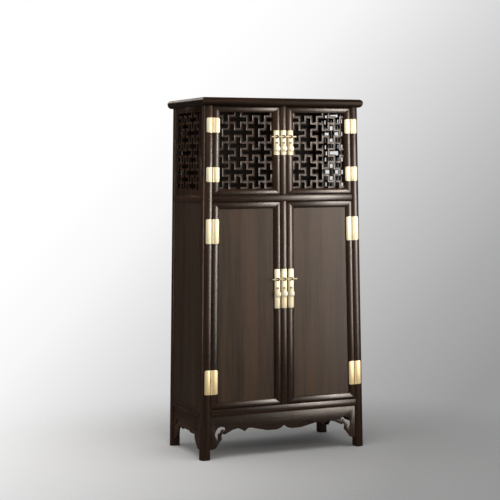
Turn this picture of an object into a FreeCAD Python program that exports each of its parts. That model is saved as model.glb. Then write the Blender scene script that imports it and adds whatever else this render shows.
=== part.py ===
import FreeCAD
import Part
import math
import os

from FreeCAD import Vector

# Tall cabinet with splayed posts, lattice doors above and panelled doors below, in millimetres.
# X runs along the front, Y from the front to the back, Z up. The origin is on the floor, in the middle.

# Overall sizes
height = 1800.0
foot_width = 914.5
head_width = 852.0
foot_depth = 473.0
head_depth = 457.0

# Cap
cap_thickness = 41.0
cap_overhang = 17.5
cap_rail_width = 72.0
cap_panel_thickness = 14.0
cap_tongue = 8.0
cap_top_round = 10.0
cap_lip = 20.0
cap_undercut = 16.0

# Posts and the convex moulding that posts, stiles, rails and uprights share
post_size = 46.5
bead_rise = 4.0
stile_width = 36.0
corner_start = 34.5

# Rails of the carcass
upper_bay_height = 440.5
middle_rail_height = 35.5
bottom_rail_top = 252.5
bottom_rail_height = 38.0
rail_depth = 30.0
side_drop = 4.0

# Doors
door_thickness = 26.0
hinge_gap = 1.5
upright_gap = 2.0
door_top_gap = 2.5
door_rail_gap = 1.5
upper_door_rail = 28.0
lower_door_rail = 33.0
groove_depth = 7.0
tongue_depth = 6.0
panel_setback = 8.0
panel_thickness = 9.0
batten_width = 34.0
batten_thickness = 7.0
batten_end_gap = 3.0

# Lattice, of horizontal and vertical double crosses that take turns
bar_width = 12.0
lattice_setback = 10.0
lattice_thickness = 12.0
lattice_hidden_edge = 1.5
lattice_columns = 8
lattice_rows = 11
lattice_inner_margin = 6.7
lattice_outer_margin = 20.0
lattice_top_margin = 20.3
lattice_bottom_margin = 2.2
cells_between_crosses = 3

# Sides and back
side_setback = 3.0
side_frame_width = 33.0
side_frame_thickness = 20.0
side_lattice_setback = 7.0
side_lattice_thickness = 12.0
side_lattice_margin = 9.0
side_board_setback = 7.0
side_board_thickness = 12.0
back_setback = 6.0
back_thickness = 12.0

# Boards inside
board_thickness = 18.0
shelf_rise = 543.0
bearer_height = 26.0
bearer_thickness = 18.0

# Aprons
apron_thickness = 9.0
apron_setback = 9.0
apron_foot = 50.0
facet_turn = 0.7
back_apron_height = 62.0

# Hinges
hinge_leaf_width = 33.8
upper_hinge_height = 73.5
lower_hinge_height = 122.5
upper_hinge_insets = (99.5, 94.0)
lower_hinge_insets = (135.0, 143.0)
leaf_thickness = 1.8
leaf_corner = 6.0
corner_steps = 2
plate_facets = 3
leaf_edge = 1.5
knuckle_radius = 4.0
barrel_sides = 12
knuckle_clearance = 0.35
pin_radius = 2.0
pin_clearance = 0.05
axis_offset = 1.5

# Lock plates, their eyes, bars and pulls
plate_width = 33.0
plate_corner = 4.0
upper_plate_drop = 119.5
upper_plate_height = 123.0
lower_plate_drop = 341.5
lower_plate_height = 198.0
upper_bar_drop = 32.0
lower_bar_drop = 51.0
bar_stand_off = 11.0
bar_radius = 3.0
bar_clearance = 0.4
bar_left_reach = 72.0
bar_right_reach = 56.0
bar_tip_length = 6.0
bar_tip_radius = 2.0
bar_sides = 8
bar_knob_radius = 4.4
bar_knob_length = 9.0
bar_eye_radius = 8.5
bar_eye_thickness = 5.0
eye_nose_steps = 4
upper_pull_drop = 62.0
lower_pull_drop = 96.0
pull_eye_radius = 4.6
pull_eye_thickness = 3.2
pull_stand_off = 7.5
pull_pin_radius = 1.6
pull_pin_clearance = 0.3
pull_pin_length = 9.6
bail_strap = 2.4
upper_bail_drop = 8.0
lower_bail_drop = 13.0
upper_pull_length = 38.0
upper_pull_radius = 13.0
lower_pull_length = 35.0
lower_pull_radius = 14.0
pull_edge_half = 2.4
pull_flatness_share = 0.42
pull_face_share = 0.6
pull_centre_share = 0.6

# A cutting tool runs past what it cuts by this much
overrun = 20.0

# Half outline of the front apron's lower edge, from the middle to the post. Each step is the middle and
# the end of an arc: the first share is of the half span, the second of the drop below the bottom rail.
front_tip_shares = (0.0, 0.42)
front_edge_shares = (
    ((0.045, 0.505), (0.100, 0.545)),
    ((0.165, 0.560), (0.235, 0.540)),
    ((0.335, 0.465), (0.440, 0.425)),
    ((0.490, 0.425), (0.520, 0.480)),
    ((0.537, 0.510), (0.553, 0.480)),
    ((0.620, 0.405), (0.695, 0.440)),
    ((0.735, 0.490), (0.785, 0.545)),
    ((0.815, 0.555), (0.829, 0.515)),
    ((0.845, 0.610), (0.838, 0.705)),
    ((0.870, 0.790), (0.900, 0.885)),
    ((0.918, 0.965), (0.950, 0.995)),
)
# The pierced scroll of the front bracket, as arcs round a hooked crescent, in the same shares.
front_scroll_start_shares = (0.897, 0.690)
front_scroll_shares = (
    ((0.929, 0.560), (0.920, 0.455)),
    ((0.878, 0.335), (0.806, 0.345)),
    ((0.792, 0.385), (0.803, 0.440)),
    ((0.826, 0.400), (0.850, 0.455)),
    ((0.856, 0.490), (0.868, 0.515)),
    ((0.892, 0.570), (0.883, 0.650)),
    ((0.889, 0.672), (0.897, 0.690)),
)
# The same for the side aprons, whose middle is narrower.
side_tip_shares = (0.0, 0.525)
side_edge_shares = (
    ((0.060, 0.560), (0.150, 0.530)),
    ((0.240, 0.570), (0.300, 0.600)),
    ((0.345, 0.590), (0.375, 0.545)),
    ((0.455, 0.600), (0.520, 0.575)),
    ((0.555, 0.545), (0.575, 0.600)),
    ((0.600, 0.720), (0.660, 0.800)),
    ((0.730, 0.880), (0.790, 0.960)),
    ((0.815, 0.990), (0.850, 0.995)),
)
side_scroll_start_shares = (0.795, 0.700)
side_scroll_shares = (
    ((0.850, 0.580), (0.835, 0.480)),
    ((0.745, 0.365), (0.620, 0.385)),
    ((0.590, 0.420), (0.610, 0.470)),
    ((0.640, 0.390), (0.695, 0.420)),
    ((0.700, 0.470), (0.730, 0.500)),
    ((0.815, 0.580), (0.795, 0.700)),
)

# Half outlines of the pulls: the first share is of the radius, the second of the length from the top.
upper_pull_shares = (
    (0.24, 0.00),
    (0.32, 0.14),
    (0.62, 0.31),
    (0.92, 0.50),
    (1.00, 0.66),
    (0.90, 0.82),
    (0.62, 0.94),
    (0.24, 1.00),
)
lower_pull_shares = (
    (0.28, 0.00),
    (0.40, 0.11),
    (0.78, 0.25),
    (1.00, 0.46),
    (0.98, 0.64),
    (0.80, 0.82),
    (0.50, 0.94),
    (0.18, 1.00),
)

# Sizes worked out from these
cap_bottom = height - cap_thickness
lean_x = (foot_width - head_width) / 2 / cap_bottom
lean_y = (foot_depth - head_depth) / 2 / cap_bottom
middle_rail_top = cap_bottom - upper_bay_height
middle_rail_bottom = middle_rail_top - middle_rail_height
bottom_rail_bottom = bottom_rail_top - bottom_rail_height
shelf_height = bottom_rail_top + shelf_rise
bead_radius = (stile_width**2 / 4 + bead_rise**2) / (2 * bead_rise)
upright_half = stile_width / 2
inner_edge = upright_half + upright_gap
front_up = Vector(0, lean_y, 1)
corner_up = Vector(-lean_x, lean_y, 1)

os.makedirs("parts", exist_ok=True)


def half_width(z):
    return foot_width / 2 - lean_x * z


def half_depth(z):
    return foot_depth / 2 - lean_y * z


def bay_half(z):
    return half_width(z) - post_size


def side_bay_half(z):
    return half_depth(z) - post_size


def save(name, *solids):
    shape = solids[0] if len(solids) == 1 else Part.makeCompound(list(solids))
    shape.exportStep("parts/" + name + ".step")


def polygon(points):
    return Part.Face(Part.makePolygon(list(points) + [points[0]]))


def arc(a, b, c):
    return Part.Arc(a, b, c).toShape()


def mirrored(shape, normal):
    return shape.mirror(Vector(0, 0, 0), normal)


def bead_dip(s):
    """How far the convex moulding has fallen below its crown, at s from its edge."""
    return bead_radius - math.sqrt(bead_radius**2 - (s - upright_half) ** 2)


def front_prism(points, y0, y1):
    """A prism through the front: corners in X and Z, from y0 back to y1."""
    return polygon([Vector(x, y0, z) for x, z in points]).extrude(Vector(0, y1 - y0, 0))


def side_prism(points, x0, x1):
    """A prism through a side: corners in Y and Z, from x0 to x1."""
    return polygon([Vector(x0, y, z) for y, z in points]).extrude(Vector(x1 - x0, 0, 0))


def bay_prism(z0, z1, inset=0.0):
    points = [
        (-bay_half(z0) + inset, z0),
        (bay_half(z0) - inset, z0),
        (bay_half(z1) - inset, z1),
        (-bay_half(z1) + inset, z1),
    ]
    return front_prism(points, -foot_depth, foot_depth)


def side_bay_prism(z0, z1, inset=0.0):
    points = [
        (-side_bay_half(z0) + inset, z0),
        (side_bay_half(z0) - inset, z0),
        (side_bay_half(z1) - inset, z1),
        (-side_bay_half(z1) + inset, z1),
    ]
    return side_prism(points, -foot_width, foot_width)


def placed(shape, origin, up):
    """Stands a shape that was drawn upright at the origin on a leaning line."""
    moved = shape.copy()
    place = FreeCAD.Placement(origin, FreeCAD.Rotation(Vector(0, 0, 1), up))
    moved.Placement = place.multiply(moved.Placement)
    return moved


def on_front(shape):
    """From front coordinates: X as it is, Y zero in the plane of the crowns, and Z along the lean."""
    return placed(shape, Vector(0, -half_depth(0), 0), front_up)


def on_corner(shape):
    """From coordinates of the front right post, whose inner corner is their Z axis."""
    return placed(shape, Vector(bay_half(0), -side_bay_half(0), 0), corner_up)


# Posts


def right_back_post():
    dip = bead_dip(corner_start)
    turn = math.asin((corner_start - upright_half) / bead_radius)
    near = Vector(post_size - dip, corner_start, 0)
    far = Vector(corner_start, post_size - dip, 0)
    half_chord = (near - far).Length / 2
    half_angle = math.pi / 4 - turn
    bulge = half_chord * math.tan(half_angle / 2)
    middle = (near + far) / 2 + Vector(bulge, bulge, 0) / math.sqrt(2)
    wire = Part.Wire(
        [
            Part.makeLine(Vector(0, 0, 0), Vector(post_size - bead_rise, 0, 0)),
            arc(Vector(post_size - bead_rise, 0, 0), Vector(post_size, upright_half, 0), near),
            arc(near, middle, far),
            arc(far, Vector(upright_half, post_size, 0), Vector(0, post_size - bead_rise, 0)),
            Part.makeLine(Vector(0, post_size - bead_rise, 0), Vector(0, 0, 0)),
        ]
    )
    face = Part.Face(wire)
    face.translate(Vector(0, 0, -overrun))
    bar = face.extrude(Vector(0, 0, cap_bottom + 2 * overrun))
    bar = placed(bar, Vector(bay_half(0), side_bay_half(0), 0), Vector(-lean_x, -lean_y, 1))
    room = Part.makeBox(foot_width, foot_depth, cap_bottom)
    return bar.common(room).Solids[0]


# Rails along the front and back, and along the sides


def moulded_rail(z0, z1, side_y, depth):
    """A rail along X whose outer face is convex, with its crown in the plane of the posts' faces."""
    zm = (z0 + z1) / 2
    low = Vector(0, side_y * (half_depth(z0) - bead_rise), z0)
    crown = Vector(0, side_y * half_depth(zm), zm)
    high = Vector(0, side_y * (half_depth(z1) - bead_rise), z1)
    back_high = Vector(0, side_y * (half_depth(z1) - depth), z1)
    back_low = Vector(0, side_y * (half_depth(z0) - depth), z0)
    wire = Part.Wire(
        [
            arc(low, crown, high),
            Part.makeLine(high, back_high),
            Part.makeLine(back_high, back_low),
            Part.makeLine(back_low, low),
        ]
    )
    bar = Part.Face(wire)
    bar.translate(Vector(-foot_width, 0, 0))
    return bar.extrude(Vector(2 * foot_width, 0, 0))


def moulded_side_rail(z0, z1, side_x, depth):
    zm = (z0 + z1) / 2
    low = Vector(side_x * (half_width(z0) - bead_rise), 0, z0)
    crown = Vector(side_x * half_width(zm), 0, zm)
    high = Vector(side_x * (half_width(z1) - bead_rise), 0, z1)
    back_high = Vector(side_x * (half_width(z1) - depth), 0, z1)
    back_low = Vector(side_x * (half_width(z0) - depth), 0, z0)
    wire = Part.Wire(
        [
            arc(low, crown, high),
            Part.makeLine(high, back_high),
            Part.makeLine(back_high, back_low),
            Part.makeLine(back_low, low),
        ]
    )
    bar = Part.Face(wire)
    bar.translate(Vector(0, -foot_depth, 0))
    return bar.extrude(Vector(0, 2 * foot_depth, 0))


def front_rail(z0, z1, side_y):
    return moulded_rail(z0, z1, side_y, rail_depth).common(bay_prism(z0, z1))


def side_rail(z0, z1, side_x):
    return moulded_side_rail(z0, z1, side_x, rail_depth).common(side_bay_prism(z0, z1))


# Stiles and uprights


def moulded_bar(x0, x1, face_y, z0, z1):
    """An upright bar whose front is convex, with its crown at face_y. It runs past both heights."""
    z = z0 - overrun
    left = Vector(x0, face_y + bead_rise, z)
    crown = Vector((x0 + x1) / 2, face_y, z)
    right = Vector(x1, face_y + bead_rise, z)
    back_right = Vector(x1, face_y + door_thickness, z)
    back_left = Vector(x0, face_y + door_thickness, z)
    wire = Part.Wire(
        [
            arc(left, crown, right),
            Part.makeLine(right, back_right),
            Part.makeLine(back_right, back_left),
            Part.makeLine(back_left, left),
        ]
    )
    return Part.Face(wire).extrude(Vector(0, 0, z1 - z0 + 2 * overrun))


def upright(z0, z1):
    bar = on_front(moulded_bar(-upright_half, upright_half, 0, z0, z1))
    return bar.common(bay_prism(z0, z1)).Solids[0]


# Panels and lattices that lean with the front or the sides


def front_slab(points, z_low, setback, thickness):
    """A flat slab parallel to the front plane, cut to an outline in X and Z."""
    z0 = z_low - overrun
    z1 = max(z for x, z in points) + overrun
    y0 = -half_depth(z0) + setback
    y1 = -half_depth(z1) + setback
    outline = [(y0, z0), (y1, z1), (y1 + thickness, z1), (y0 + thickness, z0)]
    slab = side_prism(outline, -foot_width, foot_width)
    return slab.common(front_prism(points, -foot_depth, foot_depth))


def side_slab(points, side_x, setback, thickness):
    """A flat slab parallel to a side plane, cut to an outline in Y and Z."""
    z0 = min(z for y, z in points) - overrun
    z1 = max(z for y, z in points) + overrun
    x0 = side_x * (half_width(z0) - setback)
    x1 = side_x * (half_width(z1) - setback)
    inner = -side_x * thickness
    outline = [(x0, z0), (x1, z1), (x1 + inner, z1), (x0 + inner, z0)]
    slab = front_prism(outline, -foot_depth, foot_depth)
    return slab.common(side_prism(points, -foot_width, foot_width))


def cross_holes(prism, first_s, first_t, pitch_s, pitch_t, y0, y1):
    """The openings between the bars. Each is a double cross: a long slot with two short ones across it,
    lying or standing by turns. s runs across from the first bar and t down from it."""
    half = bar_width / 2
    step = cells_between_crosses
    holes = []
    for column in range(-1, lattice_columns + step, step):
        for row in range(-1, lattice_rows + step, step):
            lies = ((column + 1) // step + (row + 1) // step) % 2 == 1
            slots = []
            for s0, s1, t0, t1 in cross_slots(column, row, lies):
                a = first_s + pitch_s * s0 + math.copysign(half, pitch_s)
                b = first_s + pitch_s * s1 - math.copysign(half, pitch_s)
                c = first_t - pitch_t * t0 - half
                d = first_t - pitch_t * t1 + half
                slots.append(prism([(a, c), (b, c), (b, d), (a, d)], y0, y1))
            holes.append(slots[0].fuse(slots[1:]).removeSplitter())
    return holes


def cross_slots(column, row, lies):
    """The three slots of one double cross, in cells: across from, across to, down from, down to."""
    long_slot = (column - 2, column + 3, row, row + 1)
    first = (column - 1, column, row - 1, row + 2)
    second = (column + 1, column + 2, row - 1, row + 2)
    if lies:
        return long_slot, first, second
    long_slot = (column, column + 1, row - 2, row + 3)
    first = (column - 1, column + 2, row - 1, row)
    second = (column - 1, column + 2, row + 1, row + 2)
    return long_slot, first, second


# Doors


def outer_edge(z):
    return bay_half(z) - hinge_gap


def door_outline(z0, z1):
    return [(inner_edge, z0), (outer_edge(z0), z0), (outer_edge(z1), z1), (inner_edge, z1)]


def door_opening(z0, z1, rail, grow=0.0):
    low = z0 + rail - grow
    high = z1 - rail + grow
    inner = inner_edge + stile_width - grow
    return [
        (inner, low),
        (outer_edge(low) - stile_width + grow, low),
        (outer_edge(high) - stile_width + grow, high),
        (inner, high),
    ]


def door_frame(z0, z1, rail, groove_setback, groove_width):
    """Four mitred members of the right-hand door, grooved for what fills the frame."""
    outline = door_outline(z0, z1)
    opening = door_opening(z0, z1, rail)
    inner_stile = on_front(moulded_bar(inner_edge, inner_edge + stile_width, 0, z0, z1))
    outer_x = -hinge_gap
    outer_stile = on_corner(moulded_bar(outer_x - stile_width, outer_x, -post_size, z0, z1))
    low_rail = moulded_rail(z0, z0 + rail, -1, door_thickness)
    high_rail = moulded_rail(z1 - rail, z1, -1, door_thickness)
    groove = front_slab(door_opening(z0, z1, rail, groove_depth), z0, groove_setback, groove_width)
    members = []
    for n, bar in enumerate((low_rail, outer_stile, high_rail, inner_stile)):
        after = (n + 1) % 4
        mitre = [outline[n], outline[after], opening[after], opening[n]]
        piece = bar.common(front_prism(mitre, -foot_depth, 0))
        members.append(piece.cut(groove).Solids[0])
    return members


def door_lattice(z0, z1, rail):
    edge = door_opening(z0, z1, rail, tongue_depth)
    plate = front_slab(edge, z0, lattice_setback, lattice_thickness)
    middle = (z0 + z1) / 2
    first_s = inner_edge + stile_width + lattice_inner_margin
    last_s = outer_edge(middle) - stile_width - lattice_outer_margin
    first_t = z1 - rail - lattice_top_margin
    last_t = z0 + rail + lattice_bottom_margin
    pitch_s = (last_s - first_s) / lattice_columns
    pitch_t = (first_t - last_t) / lattice_rows
    window = front_prism(door_opening(z0, z1, rail, lattice_hidden_edge), -foot_depth, 0)
    holes = cross_holes(front_prism, first_s, first_t, pitch_s, pitch_t, -foot_depth, 0)
    cut = [part for hole in holes for part in hole.common(window).Solids]
    return plate.cut(cut).removeSplitter().Solids[0]


def door_panel(z0, z1, rail):
    """A flat panel with one batten across its back."""
    panel = front_slab(door_opening(z0, z1, rail, tongue_depth), z0, panel_setback, panel_thickness)
    middle = (z0 + z1) / 2
    low = middle - batten_width / 2
    high = middle + batten_width / 2
    inner = inner_edge + stile_width + batten_end_gap
    points = [
        (inner, low),
        (outer_edge(low) - stile_width - batten_end_gap, low),
        (outer_edge(high) - stile_width - batten_end_gap, high),
        (inner, high),
    ]
    batten = front_slab(points, low, panel_setback + panel_thickness, batten_thickness)
    return panel.fuse(batten).removeSplitter().Solids[0]


# Metalwork, drawn upright in front coordinates or in those of the front right post


def bent_plate(x_edge, sign, from_edge, width, face_y, z0, z1):
    """A thin plate bent over a moulding in flats. x_edge is the moulding's edge, sign the way it runs."""
    first = math.asin((from_edge - upright_half) / bead_radius)
    last = math.asin((from_edge + width - upright_half) / bead_radius)
    turn = (last - first) / plate_facets
    corners = []
    for radius in (bead_radius, bead_radius + leaf_thickness):
        reach = radius / math.cos(turn / 2)
        row = []
        for n in range(plate_facets + 1):
            x = x_edge + sign * (upright_half + reach * math.sin(first + n * turn))
            y = face_y + bead_radius - reach * math.cos(first + n * turn)
            row.append(Vector(x, y, z0))
        corners.append(row)
    return polygon(corners[0] + corners[1][::-1]).extrude(Vector(0, 0, z1 - z0))


def plate_window(x0, x1, z0, z1, corner):
    """A prism through the front, with its corners cut round in a few steps."""
    centres = (
        (x1 - corner, z1 - corner),
        (x0 + corner, z1 - corner),
        (x0 + corner, z0 + corner),
        (x1 - corner, z0 + corner),
    )
    points = []
    for quarter, (x, z) in enumerate(centres):
        for step in range(corner_steps + 1):
            turn = math.pi / 2 * (quarter + step / corner_steps)
            points.append((x + corner * math.cos(turn), z + corner * math.sin(turn)))
    return front_prism(points, -foot_depth, foot_depth)


def along_hinge(z0, z1, radius):
    return Part.makeCylinder(radius, z1 - z0, Vector(-hinge_gap / 2, -post_size - axis_offset, z0))


def barrel(z0, z1, radius):
    """A knuckle or pin with a few flats, whose corners are at the radius from the hinge line."""
    points = []
    for n in range(barrel_sides):
        turn = 2 * math.pi * n / barrel_sides
        x = -hinge_gap / 2 + radius * math.cos(turn)
        y = -post_size - axis_offset + radius * math.sin(turn)
        points.append(Vector(x, y, z0))
    return polygon(points).extrude(Vector(0, 0, z1 - z0))


def hinge_leaf(x_edge, sign, z0, z1, room, knuckle):
    width = hinge_leaf_width - leaf_edge
    leaf = bent_plate(x_edge, sign, leaf_edge, width, -post_size, z0, z1)
    window = plate_window(x_edge - hinge_leaf_width, x_edge + hinge_leaf_width, z0, z1, leaf_corner)
    return leaf.common(window).cut(room).fuse(knuckle)


def hinge(z_middle, tall):
    """The right-hand hinge: the seat leaf, whose lower knuckle holds the pin, and the door's leaf."""
    z0 = (z_middle - tall / 2) * corner_up.Length
    z1 = (z_middle + tall / 2) * corner_up.Length
    middle = z_middle * corner_up.Length
    gap = knuckle_clearance / 2
    room_radius = knuckle_radius + knuckle_clearance
    seat_room = along_hinge(middle - gap, z1 + overrun, room_radius)
    door_room = along_hinge(z0 - overrun, middle + gap, room_radius)
    seat = hinge_leaf(0, 1, z0, z1, seat_room, barrel(z0, middle - gap, knuckle_radius))
    seat = seat.fuse(barrel(middle - gap, z1 - leaf_edge, pin_radius)).removeSplitter().Solids[0]
    leaf = hinge_leaf(-hinge_gap, -1, z0, z1, door_room, barrel(middle + gap, z1, knuckle_radius))
    leaf = leaf.cut(along_hinge(z0 - overrun, z1 + overrun, pin_radius + pin_clearance))
    return on_corner(seat), on_corner(leaf.removeSplitter().Solids[0])


def rod(x0, x1, y, z, radius):
    """A straight bar along X with a few flats. The radius is that of its corners."""
    points = []
    for n in range(bar_sides):
        turn = 2 * math.pi * (n + 1 / 2) / bar_sides
        points.append((y + radius * math.cos(turn), z + radius * math.sin(turn)))
    return side_prism(points, x0, x1)


def eye(x, z, stand_off, radius, thickness, hole_radius):
    """A staple eye that stands out of a plate, with its hole across the front."""
    axis_y = -leaf_thickness - stand_off
    points = [(-leaf_thickness / 2, z - radius)]
    for step in range(eye_nose_steps + 1):
        turn = math.pi * (step / eye_nose_steps - 1 / 2)
        points.append((axis_y - radius * math.cos(turn), z + radius * math.sin(turn)))
    points.append((-leaf_thickness / 2, z + radius))
    left = x - thickness / 2
    shank = side_prism(points, left, left + thickness)
    return shank.cut(rod(left - overrun, left + thickness + overrun, axis_y, z, hole_radius))


def lock_plate(x_middle, z1, tall, bar_drop, pull_drop):
    """An upright plate with its eye for the lock bar and its smaller eye for the pull."""
    half = plate_width / 2
    margin = (stile_width - plate_width) / 2
    z0 = z1 - tall
    plate = bent_plate(x_middle - upright_half, 1, margin, plate_width, 0, z0, z1)
    window = plate_window(x_middle - half, x_middle + half, z0, z1, plate_corner)
    bar_hole = bar_radius + bar_clearance
    pull_hole = (pull_pin_radius + pull_pin_clearance) / math.cos(math.pi / bar_sides)
    pull_z = z1 - pull_drop
    bar_eye = eye(x_middle, z1 - bar_drop, bar_stand_off, bar_eye_radius, bar_eye_thickness, bar_hole)
    pull_eye = eye(x_middle, pull_z, pull_stand_off, pull_eye_radius, pull_eye_thickness, pull_hole)
    return on_front(plate.common(window).fuse([bar_eye, pull_eye]).removeSplitter().Solids[0])


def lock_bar(z):
    """A bar with a thinner tip on the left and a knob on the right."""
    y = -leaf_thickness - bar_stand_off
    tip_start = bar_tip_length - bar_left_reach
    tip = rod(-bar_left_reach, tip_start, y, z, bar_tip_radius)
    shaft = rod(tip_start, bar_right_reach, y, z, bar_radius)
    knob = rod(bar_right_reach, bar_right_reach + bar_knob_length, y, z, bar_knob_radius)
    return on_front(tip.fuse([shaft, knob]).Solids[0])


def facetted(rings):
    """A solid of flat faces through rings of corners."""
    faces = [polygon(rings[0]), polygon(rings[-1])]
    for near, far in zip(rings, rings[1:]):
        for n in range(len(near)):
            after = (n + 1) % len(near)
            faces.append(polygon([near[n], near[after], far[after], far[n]]))
    return Part.Solid(Part.Shell(faces))


def drop_pull(x, z, bail_drop, length, radius, shares):
    """A flattened drop under a stirrup, whose pin runs through the pull eye. It hangs plumb."""
    half_pin = pull_pin_length / 2
    leg = half_pin - bail_strap
    pin = Part.makeCylinder(pull_pin_radius, pull_pin_length, Vector(-half_pin, 0, 0), Vector(1, 0, 0))
    inside = bail_strap - bail_drop
    right = [(leg, inside), (leg, bail_strap), (half_pin, bail_strap), (half_pin, inside), (leg, -bail_drop)]
    left = [(-px, pz) for px, pz in reversed(right)]
    stirrup = front_prism(right + left, -bail_strap / 2, bail_strap / 2)
    top = bail_strap / 2 - bail_drop
    right = [(radius * across, top - length * down) for across, down in shares]
    left = [(-px, pz) for px, pz in reversed(right)]
    centre = top - length * pull_centre_share
    face_y = radius * pull_flatness_share
    edge_y = pull_edge_half
    rings = []
    for share, y in ((pull_face_share, -face_y), (1, -edge_y), (1, edge_y), (pull_face_share, face_y)):
        rings.append([Vector(px * share, y, centre + (pz - centre) * share) for px, pz in right + left])
    pull = pin.fuse([stirrup, facetted(rings)]).removeSplitter().Solids[0]
    hook = on_front(Part.Vertex(Vector(x, -leaf_thickness - pull_stand_off, z))).Vertexes[0].Point
    pull.translate(hook)
    return pull


# Aprons


def traced(start, steps, place):
    """Corners along a run of arcs, more of them where an arc turns further."""
    points = [place(start)]
    for middle, end in steps:
        edge = arc(place(start), place(middle), place(end))
        count = math.ceil(edge.Length / edge.Curve.Radius / facet_turn)
        points += edge.discretize(count + 1)[1:]
        start = end
    return points


def apron(top, half_span, foot_span, tip, steps, scroll_start, scroll, to_point, through):
    """An apron with a shaped lower edge. The spans are its half lengths at the top and at the foot."""
    drop = bottom_rail_bottom - apron_foot
    foot_z = top - steps[-1][-1][-1] * drop
    halves = []
    holes = []
    for side in (1, -1):

        def place(share):
            return to_point(side * share[0] * foot_span, top - share[1] * drop)

        ends = [to_point(side * foot_span, foot_z), to_point(side * half_span, top)]
        halves.append(traced(tip, steps, place) + ends)
        holes.append(polygon(traced(scroll_start, scroll, place)[1:]))
    face = polygon(halves[0] + halves[1][:0:-1])
    return face.cut(holes).Faces[0].extrude(through)


def front_apron():
    top = bottom_rail_bottom
    board = apron(
        top,
        bay_half(top),
        bay_half(apron_foot),
        front_tip_shares,
        front_edge_shares,
        front_scroll_start_shares,
        front_scroll_shares,
        lambda x, z: Vector(x, -half_depth(z) + apron_setback, z),
        Vector(0, 1, -lean_y).normalize() * apron_thickness,
    )
    return board.common(bay_prism(apron_foot - overrun, top)).Solids[0]


def right_apron():
    top = bottom_rail_bottom - side_drop
    board = apron(
        top,
        side_bay_half(top),
        side_bay_half(apron_foot),
        side_tip_shares,
        side_edge_shares,
        side_scroll_start_shares,
        side_scroll_shares,
        lambda y, z: Vector(half_width(z) - apron_setback, y, z),
        Vector(-1, 0, -lean_x).normalize() * apron_thickness,
    )
    return board.common(side_bay_prism(apron_foot - overrun, top)).Solids[0]


# Cap


def cap_profile(origin, out, up):
    """The section of a cap rail. out points out of the cabinet; the profile starts at its outer edge."""

    def at(depth, drop):
        return origin - out * depth - up * drop

    diagonal = cap_top_round * (1 - math.sqrt(1 / 2))
    under = cap_thickness - cap_lip
    points = {
        "top_in": at(cap_rail_width, 0),
        "top_out": at(cap_top_round, 0),
        "round": at(diagonal, diagonal),
        "lip_top": at(0, cap_top_round),
        "lip_low": at(0, cap_lip),
        "belly": at(cap_undercut * (1 - math.sqrt(3) / 2), cap_lip + under / 2),
        "toe": at(cap_undercut, cap_thickness),
        "low_in": at(cap_rail_width, cap_thickness),
    }
    return Part.Face(
        Part.Wire(
            [
                Part.makeLine(points["top_in"], points["top_out"]),
                Part.makeLine(points["top_out"], points["round"]),
                Part.makeLine(points["round"], points["lip_top"]),
                Part.makeLine(points["lip_top"], points["lip_low"]),
                arc(points["lip_low"], points["belly"], points["toe"]),
                Part.makeLine(points["toe"], points["low_in"]),
                Part.makeLine(points["low_in"], points["top_in"]),
            ]
        )
    )


def cap_rails():
    half_x = head_width / 2 + cap_overhang
    half_y = head_depth / 2 + cap_overhang
    inner_x = half_x - cap_rail_width
    inner_y = half_y - cap_rail_width
    up = Vector(0, 0, 1)
    tongue_room = Part.makeBox(
        2 * (inner_x + cap_tongue),
        2 * (inner_y + cap_tongue),
        cap_panel_thickness / 2,
        Vector(-inner_x - cap_tongue, -inner_y - cap_tongue, height - cap_panel_thickness),
    )
    corners = [(-half_x, -half_y), (half_x, -half_y), (half_x, half_y), (-half_x, half_y)]
    inside = [(-inner_x, -inner_y), (inner_x, -inner_y), (inner_x, inner_y), (-inner_x, inner_y)]
    outs = [Vector(0, -1, 0), Vector(1, 0, 0), Vector(0, 1, 0), Vector(-1, 0, 0)]
    rails = []
    for n, out in enumerate(outs):
        a, b = corners[n], corners[(n + 1) % 4]
        c, d = inside[(n + 1) % 4], inside[n]
        run = Vector(b[0] - a[0], b[1] - a[1], 0)
        bar = cap_profile(Vector(a[0], a[1], height), out, up).extrude(run)
        mitre = polygon([Vector(p[0], p[1], cap_bottom) for p in (a, b, c, d)]).extrude(up * cap_thickness)
        rails.append(bar.common(mitre).cut(tongue_room).Solids[0])
    panel = Part.makeBox(
        2 * inner_x,
        2 * inner_y,
        cap_panel_thickness,
        Vector(-inner_x, -inner_y, height - cap_panel_thickness),
    )
    return rails, panel.fuse(tongue_room).removeSplitter().Solids[0]


# Build the carcass

across = Vector(1, 0, 0)
back_right = right_back_post()
back_left = mirrored(back_right, across)
posts = [back_right, back_left, mirrored(back_right, Vector(0, 1, 0)), mirrored(back_left, Vector(0, 1, 0))]
for name, shape in zip(("back_right", "back_left", "front_right", "front_left"), posts):
    save("post_" + name, shape)

rails, cap_board = cap_rails()
for name, rail in zip(("front", "right", "back", "left"), rails):
    save("cap_rail_" + name, rail)
save("cap_panel", cap_board)

save("middle_rail_front", front_rail(middle_rail_bottom, middle_rail_top, -1))
save("middle_rail_back", front_rail(middle_rail_bottom, middle_rail_top, 1))
save("bottom_rail_front", front_rail(bottom_rail_bottom, bottom_rail_top, -1))
save("bottom_rail_back", front_rail(bottom_rail_bottom, bottom_rail_top, 1))
side_middle = [side_rail(middle_rail_bottom - side_drop, middle_rail_top - side_drop, s) for s in (-1, 1)]
side_bottom = [side_rail(bottom_rail_bottom - side_drop, bottom_rail_top - side_drop, s) for s in (-1, 1)]
save("middle_rails_side", *side_middle)
save("bottom_rails_side", *side_bottom)

save("upright_upper", upright(middle_rail_top, cap_bottom))
save("upright_lower", upright(bottom_rail_top, middle_rail_bottom))

# Sides: a frame with its lattice above, a plain board below
side_low = middle_rail_top - side_drop
side_high = cap_bottom


def side_outline(z0, z1, inset):
    return [
        (-side_bay_half(z0) + inset, z0),
        (side_bay_half(z0) - inset, z0),
        (side_bay_half(z1) - inset, z1),
        (-side_bay_half(z1) + inset, z1),
    ]


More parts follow.
